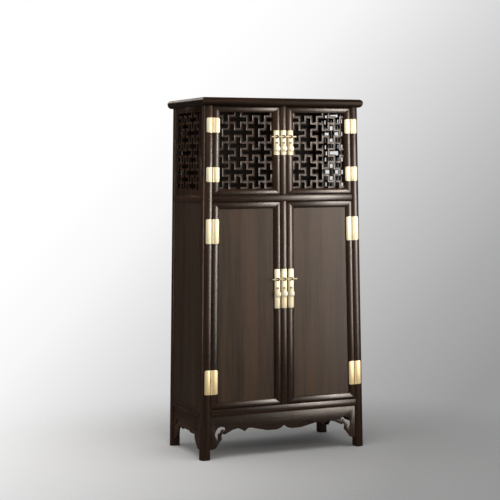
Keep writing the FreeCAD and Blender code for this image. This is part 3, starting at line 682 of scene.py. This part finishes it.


# Hollows the bars of a lattice, which look along outward, and gives their walls the second material, a
# near-black wood that paints the shade between the bars.
# acrossRange and upRange are the middles of the outermost bars, measured along across and upwards.
def latticePart(node, outward, across, acrossRange, upRange):
    part = eased(nodeCopy(node), lattice["ease"], 2, lattice["easeAngle"])
    bmesh.ops.triangulate(part, faces=part.faces[:])
    for way, (first, last), cells in (
        (across, acrossRange, lattice["columns"]),
        (zUp, upRange, lattice["rows"]),
    ):
        for n in range(-1, cells + 2):
            cutBy(part, way * (first + (last - first) / cells * n), way, False)
    part.normal_update()

    def looksOut(face):
        return face.normal.dot(outward) > lattice["frontFacing"]

    rest = part.copy()
    bmesh.ops.delete(rest, geom=[f for f in rest.faces if looksOut(f)], context="FACES")
    tree = BVHTree.FromBMesh(rest)
    rest.free()
    half = lattice["barWidth"] / 2 - lattice["ease"]
    for v in [v for v in part.verts if v.link_faces and all(map(looksOut, v.link_faces))]:
        share = min(1.0, tree.find_nearest(v.co)[3] / half)
        v.co -= outward * (lattice["hollow"] * share)
    for face in part.faces:
        face.material_index = 0 if face.normal.dot(outward) > lattice["wallFacing"] else 1
    return part


latticeWoodAndShade = [latticeWood, paintedShadeWood]
size = door["upper"]
for sideX, sideName in ((-1, "left"), (1, "right")):
    node = "door_upper_" + sideName + "_lattice"
    low, high = size["low"] + size["rail"], size["high"] - size["rail"]
    inner = door["innerEdge"] + stileWidth + lattice["innerMargin"]
    outer = outerEdge((low + high) / 2) - stileWidth - lattice["outerMargin"]
    upRange = (high - lattice["topMargin"], low + lattice["bottomMargin"])
    bars = latticePart(node, Vector((0, -1, 0)), Vector((sideX, 0, 0)), (inner, outer), upRange)
    body = "door_upper_" + sideName
    finish(node + ".bars", bars, latticeWoodAndShade, body, [node], lattice["smoothAngle"])
    node = "side_lattice_" + sideName
    low = cabinet["middleRailTop"] - cabinet["sideDrop"] + size["rail"]
    high = capBottom - size["rail"]
    reach = sideBayHalf((low + high) / 2) - lattice["sideFrame"] - lattice["sideMargin"]
    upRange = (high - lattice["topMargin"], low + lattice["bottomMargin"])
    bars = latticePart(node, Vector((sideX, 0, 0)), Vector((0, 1, 0)), (reach, -reach), upRange)
    finish(node + ".bars", bars, latticeWoodAndShade, "cabinet", [node], lattice["smoothAngle"])
print("lattices made")

# Cap: four mitred rails with a round nose that falls back underneath
cap = {"railWidth": 0.072, "topRound": 0.017, "undercut": 0.016, "steps": 9, "smoothAngle": 20.0}


# One rail of the cap, its nose towards -Y, as long as its outer edge.
def capRail(halfLength, halfAcross):
    thickness = cabinet["capThickness"]
    radius = cap["topRound"]
    drop = thickness - radius
    quarter = math.pi / 2
    part = bmesh.new()
    first = part.verts.new((0, radius, thickness))
    nose = arc(part, first, (0, radius, drop), quarter, cap["steps"], (1, 0, 0))
    upper = part.verts[:]
    arc(part, nose, (0, drop, drop), quarter, cap["steps"], (1, 0, 0))
    lower = [v for v in part.verts if v not in upper]
    bmesh.ops.scale(part, verts=lower, vec=(1, cap["undercut"] / drop, 1))
    ring = part.verts[:]
    ring.append(part.verts.new((0, cap["railWidth"], 0)))
    ring.append(part.verts.new((0, cap["railWidth"], thickness)))
    pushed(part, [part.faces.new(ring)], (2 * halfLength, 0, 0))
    moveBy(part, -halfLength, -halfAcross, capBottom)
    return trimmed(part, [(Vector((s * halfLength, -halfAcross, 0)), Vector((s, 1, 0))) for s in (-1, 1)])


capHalfX = halfWidth(capBottom) + cabinet["capOverhang"] - cabinet["within"]
capHalfY = halfDepth(capBottom) + cabinet["capOverhang"] - cabinet["within"]
for n, place in enumerate(("front", "right", "back", "left")):
    lies = n % 2 == 0
    part = capRail(capHalfX if lies else capHalfY, capHalfY if lies else capHalfX)
    turn = Matrix.Rotation(n * math.pi / 2, 3, "Z")
    bmesh.ops.rotate(part, verts=part.verts[:], cent=(0, 0, 0), matrix=turn)
    node = "cap_rail_" + place
    material = capWood["across" if lies else "deep"]
    finish(node + ".nosed", part, material, "cabinet", [node], cap["smoothAngle"])

# Cap panel, aprons and flat side frames: the CAD shapes with their arrises eased
flatPieces = {
    "cap_panel": ("across", 0.0004),
    "apron_front": ("across", 0.0016),
    "aprons_side": ("deep", 0.0016),
    "apron_back": ("across", 0.0010),
    "side_frame_left": ("upright", 0.0010),
    "side_frame_right": ("upright", 0.0010),
}
for node, (grain, ease) in flatPieces.items():
    part = eased(nodeCopy(node), ease, 3)
    finish(node + ".eased", part, frameWood[grain], "cabinet", [node])
print("cap, aprons and side frames made")

# Hinges: leaves bent over the mouldings, with half a knuckle each and a dark strip beside it that paints the
# shade of the joint
hinge = {
    "leafWidth": 0.0338,
    "thickness": 0.0018,
    "ease": 0.00045,
    "easeAngle": 50.0,
    "corner": 0.0085,
    "clear": 0.0038,
    "shadeStripEdge": 0.0006,
    "shadeStripLap": 0.0008,
    "knuckle": 0.004,
    "knuckleEase": 0.0006,
    "axis": 0.0015,
    "gap": 0.00035,
    "nails": {"in": 0.006, "down": 0.008, "radius": 0.0019},
    "upper": {"height": 0.0735, "insets": (0.0995, 0.094)},
    "lower": {"height": 0.1225, "insets": (0.135, 0.143)},
}
brassAndShade = [satinBrass, paintedShadeBrass]
plateTop = -hinge["thickness"]
quarterX = Matrix.Rotation(math.pi / 2, 4, "X")
quarterY = Matrix.Rotation(math.pi / 2, 4, "Y")

# Share of the radius, and height
nailProfile = ((0, 0.00075), (0.5, 0.00062), (0.85, 0.00035), (1, 0), (1, -0.0003))


# The planes that round a corner of a plate, whose sides point along sideX and sideZ.
def cornerPlanes(x, z, sideX, sideZ, radius, steps=4):
    centre = Vector((x - sideX * radius, 0, z - sideZ * radius))
    planes = []
    for n in range(steps):
        angle = math.pi / 2 * (n + 0.5) / steps
        away = Vector((sideX * math.cos(angle), 0, sideZ * math.sin(angle)))
        planes.append((centre + away * radius, away))
    return planes


# A thin plate over a convex moulding whose crown is the Z axis, between two places across it.
def bentPlate(first, last, z0, z1, corner, steps=10, bothSides=False):
    outerRadius = beadRadius + hinge["thickness"]
    a = math.asin(first / beadRadius)
    b = math.asin(last / beadRadius)
    part = bmesh.new()
    pair = []
    for radius in (beadRadius, outerRadius):
        pair.append(part.verts.new((radius * math.sin(a), beadRadius - radius * math.cos(a), z0)))
    ends = pair + [part.edges.new(pair)]
    bmesh.ops.spin(part, geom=ends, cent=(0, beadRadius, 0), axis=(0, 0, 1), angle=b - a, steps=steps)
    pushed(part, part.faces[:], (0, 0, z1 - z0))
    sides = [(outerRadius * math.sin(b), 1)]
    if bothSides:
        sides.append((outerRadius * math.sin(a), -1))
    if corner > 0:
        for x, sideX in sides:
            for z, sideZ in ((z0, -1), (z1, 1)):
                trimmed(part, cornerPlanes(x, z, sideX, sideZ, corner))
    return eased(part, hinge["ease"], 2, hinge["easeAngle"])


# Turns radius and height pairs round the Z axis.
def lathe(profile, steps=24):
    part = bmesh.new()
    verts = [part.verts.new((r, 0, z)) for r, z in profile]
    edges = [part.edges.new(pair) for pair in zip(verts, verts[1:])]
    bmesh.ops.spin(
        part,
        geom=verts + edges,
        cent=(0, 0, 0),
        axis=(0, 0, 1),
        angle=2 * math.pi,
        steps=steps,
        use_merge=True,
    )
    bmesh.ops.remove_doubles(part, verts=part.verts[:], dist=tiny["match"])
    return facedOut(part)


# A turned shape that stands out of a plate at a height.
def turnedOut(profile, steps, z, sink=0.0):
    part = lathe(profile, steps)
    part.transform(Matrix.Translation((0, plateTop + sink, z)) @ quarterX)
    return part


# A domed nail head on a plate, whose crown is at the Z axis.
def nail(x, z, radius):
    part = lathe([(radius * r, height) for r, height in nailProfile], steps=12)
    out = Matrix.Translation((0, -beadRadius - hinge["thickness"], 0))
    swing = Matrix.Rotation(math.asin(x / beadRadius), 4, "Z")
    part.transform(Matrix.Translation((0, beadRadius, z)) @ swing @ out @ quarterX)
    return part


# A nail near each corner of a plate.
def addNails(whole, first, last, z0, z1, nails):
    for x in (first + nails["in"], last - nails["in"]):
        for z in (z0 + nails["down"], z1 - nails["down"]):
            merged(whole, nail(x, z, nails["radius"]), slotNumber=1)


def knuckle(z0, z1, x, y):
    radius = hinge["knuckle"]
    ease = hinge["knuckleEase"]
    side = [(radius - ease, z0), (radius, z0 + ease), (radius, z1 - ease), (radius - ease, z1)]
    return moveBy(lathe([(0, z0)] + side + [(0, z1)]), x, y, 0)


# One leaf and its knuckle, in the coordinates of the front right post.
def hingeHalf(zMiddle, tall, onDoor):
    z0 = (zMiddle - tall / 2) * cornerUp.length
    z1 = (zMiddle + tall / 2) * cornerUp.length
    middle = (z0 + z1) / 2
    low, high = (middle + hinge["gap"] / 2, z1) if onDoor else (z0, middle - hinge["gap"] / 2)
    half = stileWidth / 2
    first, last = hinge["clear"] - half, hinge["leafWidth"] - half
    whole = bmesh.new()
    merged(whole, bentPlate(first, last, z0, z1, hinge["corner"]))
    # Painted shade: a dark brass strip beside the knuckle
    shadeStrip = bentPlate(hinge["shadeStripEdge"] - half, first + hinge["shadeStripLap"], low, high, 0, 3)
    merged(whole, shadeStrip, slotNumber=1)
    addNails(whole, first, last, z0, z1, hinge["nails"])
    if onDoor:
        moveBy(mirrored(whole), -door["hingeGap"] - half, -postSize, 0)
    else:
        moveBy(whole, half, -postSize, 0)
    merged(whole, knuckle(low, high, -door["hingeGap"] / 2, -postSize - hinge["axis"]))
    return onCorner(whole)


seats = {"left": bmesh.new(), "right": bmesh.new()}
for tier in ("upper", "lower"):
    size = door[tier]
    height = hinge[tier]["height"]
    leaves = {"left": bmesh.new(), "right": bmesh.new()}
    lowInset, highInset = hinge[tier]["insets"]
    for z in (size["low"] + lowInset, size["high"] - highInset):
        for sideName in ("left", "right"):
            merged(seats[sideName], hingeHalf(z, height, False), sideName == "left")
            merged(leaves[sideName], hingeHalf(z, height, True), sideName == "left")
    for sideName in ("left", "right"):
        node = "hinge_leaves_" + tier + "_" + sideName
        body = "door_" + tier + "_" + sideName
        finish(node + ".brass", leaves[sideName], brassAndShade, body, [node])
for sideName in ("left", "right"):
    node = "hinge_seats_" + sideName
    finish(node + ".brass", seats[sideName], brassAndShade, "cabinet", [node])
print("hinges made")

# Lock plates: a plate over a stile with an eye for the lock bar and one for the pull
plate = {
    "width": 0.030,
    "corner": 0.004,
    "steps": 14,
    "eyeEase": 0.22,
    "shankTop": 0.9,
    "shankSink": 0.0004,
    "discSink": 0.002,
    "nails": {"in": 0.006, "down": 0.007, "radius": 0.0017},
    "barEye": {
        "standOff": 0.011,
        "radius": 0.0085,
        "wire": 0.0050,
        "hole": 0.0034,
        "rosette": 0.0092,
        "rosetteRise": 0.0026,
    },
    "pullEye": {
        "standOff": 0.0075,
        "radius": 0.0046,
        "wire": 0.0032,
        "hole": 0.0020,
        "rosette": 0.00552,
        "rosetteRise": 0.0012,
    },
    "upper": {"top": capBottom - 0.1195, "height": 0.123, "bar": 0.032, "pull": 0.062},
    "lower": {"top": middleLow - 0.3415, "height": 0.198, "bar": 0.051, "pull": 0.096},
}

# The disc in shares of its radius and rise, and the shank in shares of half the wire, and heights
discProfile = ((0, 1), (0.45, 0.92), (0.8, 0.62), (1, 0.2))
shankProfile = ((0, 0), (1.9, 0), (1.7, 0.0012), (0.95, 0.0022))


# A ring on a short shank over a domed disc, with its hole along X, all three in the dark brass that paints
# their shade.
def addEye(whole, z, eye):
    hole, radius, half = eye["hole"], eye["radius"], eye["wire"] / 2
    ease = eye["wire"] * plate["eyeEase"]
    near = [(hole, -half + ease), (hole + ease * 0.6, -half), (radius - ease, -half), (radius, -half + ease)]
    ring = lathe(near + [(r, -side) for r, side in reversed(near)] + near[:1], 28)
    ring.transform(Matrix.Translation((0, plateTop - eye["standOff"], z)) @ quarterY)
    merged(whole, ring, slotNumber=1)
    shank = [(half * r, height) for r, height in shankProfile]
    shank.append((half * plate["shankTop"], eye["standOff"] - hole))
    merged(whole, turnedOut(shank, 16, z, plate["shankSink"]), slotNumber=1)
    wide, rise = eye["rosette"], eye["rosetteRise"]
    disc = [(wide * r, rise * share) for r, share in discProfile] + [(wide, -plate["discSink"])]
    merged(whole, turnedOut(disc, 28, z), slotNumber=1)


def lockPlate(size):
    whole = bmesh.new()
    half = plate["width"] / 2
    z1 = size["top"]
    z0 = z1 - size["height"]
    merged(whole, bentPlate(-half, half, z0, z1, plate["corner"], plate["steps"], True))
    addEye(whole, z1 - size["bar"], plate["barEye"])
    addEye(whole, z1 - size["pull"], plate["pullEye"])
    addNails(whole, -half, half, z0, z1, plate["nails"])
    return whole


plateX = door["innerEdge"] + stileWidth / 2
middlePlates = bmesh.new()
for tier in ("upper", "lower"):
    for sideName in ("left", "right"):
        part = onFront(moveBy(lockPlate(plate[tier]), plateX, 0, 0))
        if sideName == "left":
            mirrored(part)
        node = "lock_plate_" + tier + "_" + sideName
        body = "door_" + tier + "_" + sideName
        finish(node + ".brass", part, brassAndShade, body, [node])
    joined(middlePlates, onFront(lockPlate(plate[tier])))
node = "lock_plates_middle"
finish(node + ".brass", middlePlates, brassAndShade, "cabinet", [node])

# Lock bars: a slimmer tip at the left, a collar and a knob at the right
lockBar = {"radius": 0.003, "tip": 0.002, "tipLength": 0.006, "left": 0.072, "right": 0.056, "knob": 0.0044}
for tier in ("upper", "lower"):
    radius, tip, knob = lockBar["radius"], lockBar["tip"], lockBar["knob"]
    left, right = -lockBar["left"], lockBar["right"]
    shoulder = left + lockBar["tipLength"]
    part = lathe(
        [
            (0, left),
            (tip * 0.7, left),
            (tip, left + 0.0008),
            (tip, shoulder - 0.001),
            (radius, shoulder + 0.001),
            (radius, right - 0.004),
            (radius * 1.25, right - 0.003),
            (radius * 1.25, right - 0.001),
            (radius * 0.9, right),
            (knob * 0.85, right + 0.001),
            (knob, right + 0.003),
            (knob, right + 0.006),
            (knob * 0.8, right + 0.0082),
            (knob * 0.35, right + 0.009),
            (0, right + 0.009),
        ]
    )
    place = (0, plateTop - plate["barEye"]["standOff"], plate[tier]["top"] - plate[tier]["bar"])
    part.transform(Matrix.Translation(place) @ quarterY)
    node = "lock_bar_" + tier
    finish(node + ".brass", onFront(part), satinBrass, node, [node])

# Pulls: a pin through the small eye, a stirrup on it, and a flattened drop. shares holds the drop's outline
# as shares of its radius and of its length.
pull = {
    "pin": 0.0016,
    "pinLength": 0.0096,
    "strap": 0.0024,
    "strapEase": 0.0006,
    "flat": 0.44,
    "forward": 0.0035,
    "upper": {
        "bail": 0.008,
        "length": 0.038,
        "radius": 0.0145,
        "shares": (
            (0.0, 0.0), (0.22, 0.0), (0.31, 0.02), (0.30, 0.06), (0.40, 0.11), (0.58, 0.20),
            (0.76, 0.31), (0.89, 0.42), (0.97, 0.52), (1.0, 0.60), (0.98, 0.69), (0.89, 0.80),
            (0.72, 0.90), (0.46, 0.97), (0.2, 0.998), (0.0, 1.0),
        ),
    },
    "lower": {
        "bail": 0.013,
        "length": 0.035,
        "radius": 0.014,
        "shares": (
            (0.0, 0.0), (0.24, 0.0), (0.33, 0.02), (0.34, 0.05), (0.50, 0.09), (0.70, 0.16),
            (0.86, 0.26), (0.96, 0.37), (1.0, 0.50), (0.98, 0.63), (0.88, 0.76), (0.70, 0.87),
            (0.47, 0.95), (0.2, 0.995), (0.0, 1.0),
        ),
    },
}


def dropPull(size):
    whole = bmesh.new()
    half = pull["pinLength"] / 2
    pin = lathe([(0, -half), (pull["pin"], -half), (pull["pin"], half), (0, half)], 16)
    pin.transform(quarterY)
    merged(whole, pin)
    strap = pull["strap"]
    leg = half - strap
    low = -size["bail"]
    side = ((leg, strap + low), (leg, strap), (half, strap), (half, strap + low), (leg, low))
    outline = list(side) + [(-x, z) for x, z in reversed(side)]
    stirrup = bmesh.new()
    face = stirrup.faces.new([stirrup.verts.new((x, -strap / 2, z)) for x, z in outline])
    merged(whole, eased(pushed(stirrup, [face], (0, strap, 0)), pull["strapEase"]))
    top = strap / 2 + low
    drop = lathe([(size["radius"] * r, top - size["length"] * t) for r, t in size["shares"]], 32)
    merged(whole, moveBy(scaleBy(drop, 1, pull["flat"], 1), 0, -pull["forward"], 0))
    return whole


# The pulls hang plumb from eyes that lean with the front
frontTurn = zUp.rotation_difference(frontUp).to_matrix()
for tier in ("upper", "lower"):
    hookZ = plate[tier]["top"] - plate[tier]["pull"]
    for place, x in (("left", -plateX), ("middle", 0.0), ("right", plateX)):
        hook = frontTurn @ Vector((x, plateTop - plate["pullEye"]["standOff"], hookZ))
        part = moveBy(dropPull(pull[tier]), hook.x, hook.y - halfDepth(0), hook.z)
        node = "pull_" + tier + "_" + place
        finish(node + ".brass", part, paleBrass, node, [node])
print("plates, bars and pulls made")

# The other CAD nodes keep their shapes
kept = {
    "door_lower_left_panel": panelWood,
    "door_lower_right_panel": panelWood,
    "side_board_left": sideWood,
    "side_board_right": sideWood,
    "back_panel_upper": paintedShadeBackWood,
    "back_panel_lower": paintedShadeBackWood,
    "bottom_board": paintedShadeInsideWood["across"],
    "middle_board": paintedShadeInsideWood["across"],
    "shelf": paintedShadeInsideWood["across"],
    "shelf_bearers": paintedShadeInsideWood["deep"],
}
for node, material in kept.items():
    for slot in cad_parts[node].material_slots:
        slot.material = material
print("panels and boards dressed")

# Camera and backdrop. focal and frame are in pixels, angles in degrees.
studio = {
    "eye": (-3.0012, -6.6103, 1.4505),
    "yaw": 23.7952,
    "pitch": -3.3495,
    "roll": -0.2667,
    "focal": 1397.82,
    "frame": 500.0,
    "sensor": 36.0,
    "clipEnd": 200.0,
    "slant": 0.93,
    "nearAhead": (0.90, 0.97),
    "restGrey": 0.30,
    "fill": 0.54,
    "gloss": 0.10,
    "lampColour": (1, 0.91, 0.81),
}
yaw, pitch, roll = (math.radians(studio[k]) for k in ("yaw", "pitch", "roll"))
levelAhead = Vector((math.sin(yaw), math.cos(yaw), 0))
levelRight = Vector((math.cos(yaw), -math.sin(yaw), 0))
ahead = levelAhead * math.cos(pitch) + zUp * math.sin(pitch)
levelUp = levelRight.cross(ahead)
right = levelRight * math.cos(roll) + levelUp * math.sin(roll)
upward = levelUp * math.cos(roll) - levelRight * math.sin(roll)
frameShare = studio["focal"] / studio["frame"]

cameraData = bpy.data.cameras.new("studioCamera")
cameraData.sensor_width = studio["sensor"]
cameraData.lens = frameShare * studio["sensor"]
cameraData.clip_end = studio["clipEnd"]
camera = bpy.data.objects.new("studioCamera", cameraData)
turn = Matrix((right, upward, -ahead)).transposed().to_4x4()
camera.matrix_world = Matrix.Translation(studio["eye"]) @ turn
bpy.context.scene.collection.objects.link(camera)
bpy.context.scene.camera = camera

# Greys of the backdrop, from white at the upper left to grey at the lower right, with no edge at the floor:
# painted light falloff
backdropTones = (
    (0.27, 1.0),
    (0.36, 0.93),
    (0.48, 0.73),
    (0.60, 0.56),
    (0.72, 0.415),
    (0.83, 0.322),
    (0.96, 0.30),
)


def greyRamp(maker, travel, paint=1.0):
    stops = [(place, (grey * paint,) * 3) for place, grey in backdropTones]
    return maker.node("ShaderNodeValToRGB", {"stops": stops}, {0: travel})


world = bpy.data.worlds.new("studioWorld")
bpy.context.scene.world = world
world.use_nodes = True
world.node_tree.nodes.clear()
maker = Maker(world.node_tree)
heading = maker.node("ShaderNodeTexCoord", out=0)
run = frameShare / 2
slant = studio["slant"]
travel = maker.along(heading, right) * run + maker.along(heading, -upward) * (run * slant) + (1 + slant) / 4
near = maker.steps(maker.along(heading, ahead), *studio["nearAhead"])
tones = maker.between(near, tone((studio["restGrey"],) * 3), greyRamp(maker, travel))
cameraRay = maker.node("ShaderNodeLightPath", out=0)
mirrorRay = maker.node("ShaderNodeLightPath", out=3)
throughRay = maker.node("ShaderNodeLightPath", out=6)
backdropRay = (cameraRay + mirrorRay + throughRay).clamped()
strength = 1 - mirrorRay * (1 - studio["gloss"])
shown = maker.node("ShaderNodeBackground", {}, {"Color": tones, "Strength": strength})
fill = maker.node("ShaderNodeBackground", {}, {"Color": tone((1.0, 1.0, 1.0)), "Strength": studio["fill"]})
both = maker.node("ShaderNodeMixShader", {}, {0: backdropRay, 1: fill, 2: shown})
maker.node("ShaderNodeOutputWorld", {}, {"Surface": both})

# Floor: matt, in the backdrop's greys as painted light falloff, and clear further out
floorPlan = {
    "half": 9.0,
    "cells": 24,
    "fade": (0.55, 1.9),
    "middle": 0.679,
    "across": 0.1926,
    "deep": -0.0355,
    "paint": 1.10,
}
part = bmesh.new()
bmesh.ops.create_grid(
    part, x_segments=floorPlan["cells"], y_segments=floorPlan["cells"], size=floorPlan["half"]
)
floorMesh = bpy.data.meshes.new("studioFloor")
part.to_mesh(floorMesh)
part.free()
floor = bpy.data.objects.new("studioFloor", floorMesh)
bpy.context.scene.collection.objects.link(floor)
floorPaintedLight, maker = blank("floorPaintedLight")
at = maker.node("ShaderNodeTexCoord", out=3)
across = maker.along(at, levelRight) * floorPlan["across"]
travel = across + maker.along(at, levelAhead) * floorPlan["deep"] + floorPlan["middle"]
paint = greyRamp(maker, travel, floorPlan["paint"])
mirrorRay = maker.node("ShaderNodeLightPath", out=3)
# Glossy rays see the floor darkened: painted shade in its reflections
paint = maker.between(mirrorRay * (1 - studio["gloss"]), paint, tone((0.0, 0.0, 0.0)))
matt = maker.node("ShaderNodeBsdfDiffuse", {}, {"Color": paint})
clear = maker.node("ShaderNodeBsdfTransparent")
far = maker.node("ShaderNodeVectorMath", {"operation": "LENGTH"}, {0: at}, out=1)
blended = maker.node("ShaderNodeMixShader", {}, {0: maker.steps(far, *floorPlan["fade"]), 1: matt, 2: clear})
maker.node("ShaderNodeOutputMaterial", {}, {"Surface": blended})
floorMesh.materials.append(floorPaintedLight)


# A lamp that stands at one place and looks at another.
def softbox(name, at, aim, size, watts, colour=studio["lampColour"], diffuse=True, glossy=True):
    light = bpy.data.lights.new(name, "AREA")
    light.shape = "RECTANGLE"
    light.size, light.size_y = size
    light.energy = watts
    light.color = colour
    lamp = bpy.data.objects.new(name, light)
    bpy.context.scene.collection.objects.link(lamp)
    look = (Vector(aim) - Vector(at)).normalized()
    lamp.matrix_world = Matrix.Translation(at) @ look.to_track_quat("-Z", "Y").to_matrix().to_4x4()
    lamp.visible_camera = False
    lamp.visible_diffuse = diffuse
    lamp.visible_glossy = glossy


# Lamps that only shine back from the finish
softbox("stripHigh", (2.14, -2.62, 1.85), (0.0, -0.24, 1.85), (0.90, 1.4), 76.0, diffuse=False)
softbox("stripLow", (2.14, -2.62, 0.60), (0.0, -0.24, 0.60), (0.90, 1.1), 25.0, diffuse=False)
softbox("frontRight", (1.7, -3.24, 0.92), (0.0, -0.24, 0.92), (1.8, 1.2), 7.6, diffuse=False)
softbox("lowRight", (1.45, -1.75, 0.22), (0.0, -0.24, 0.22), (0.50, 0.40), 1.8, diffuse=False)
softbox("leftBack", (-2.7, 0.3, 1.35), (-0.45, -0.2, 1.35), (0.35, 2.5), 18.0, diffuse=False)
softbox("topBack", (-0.75, 1.9, 2.5), (-0.45, 0.0, 1.79), (1.0, 0.5), 4.0, diffuse=False)

# Lamps that only light the surfaces
softbox("frontFill", (-1.7, -4.2, 2.7), (0.0, -0.1, 0.9), (2.4, 2.0), 33.0, (1, 0.93, 0.84), glossy=False)
softbox("overhead", (-0.5, -1.1, 3.4), (0.0, 0.0, 0.6), (2.2, 2.2), 47.0, (1, 1, 1), glossy=False)
softbox("leftWall", (-3.4, 0.4, 1.6), (-0.4, 0.0, 0.9), (1.6, 2.4), 14.0, glossy=False)
bpy.context.scene.view_settings.view_transform = "Standard"
print("studio made")
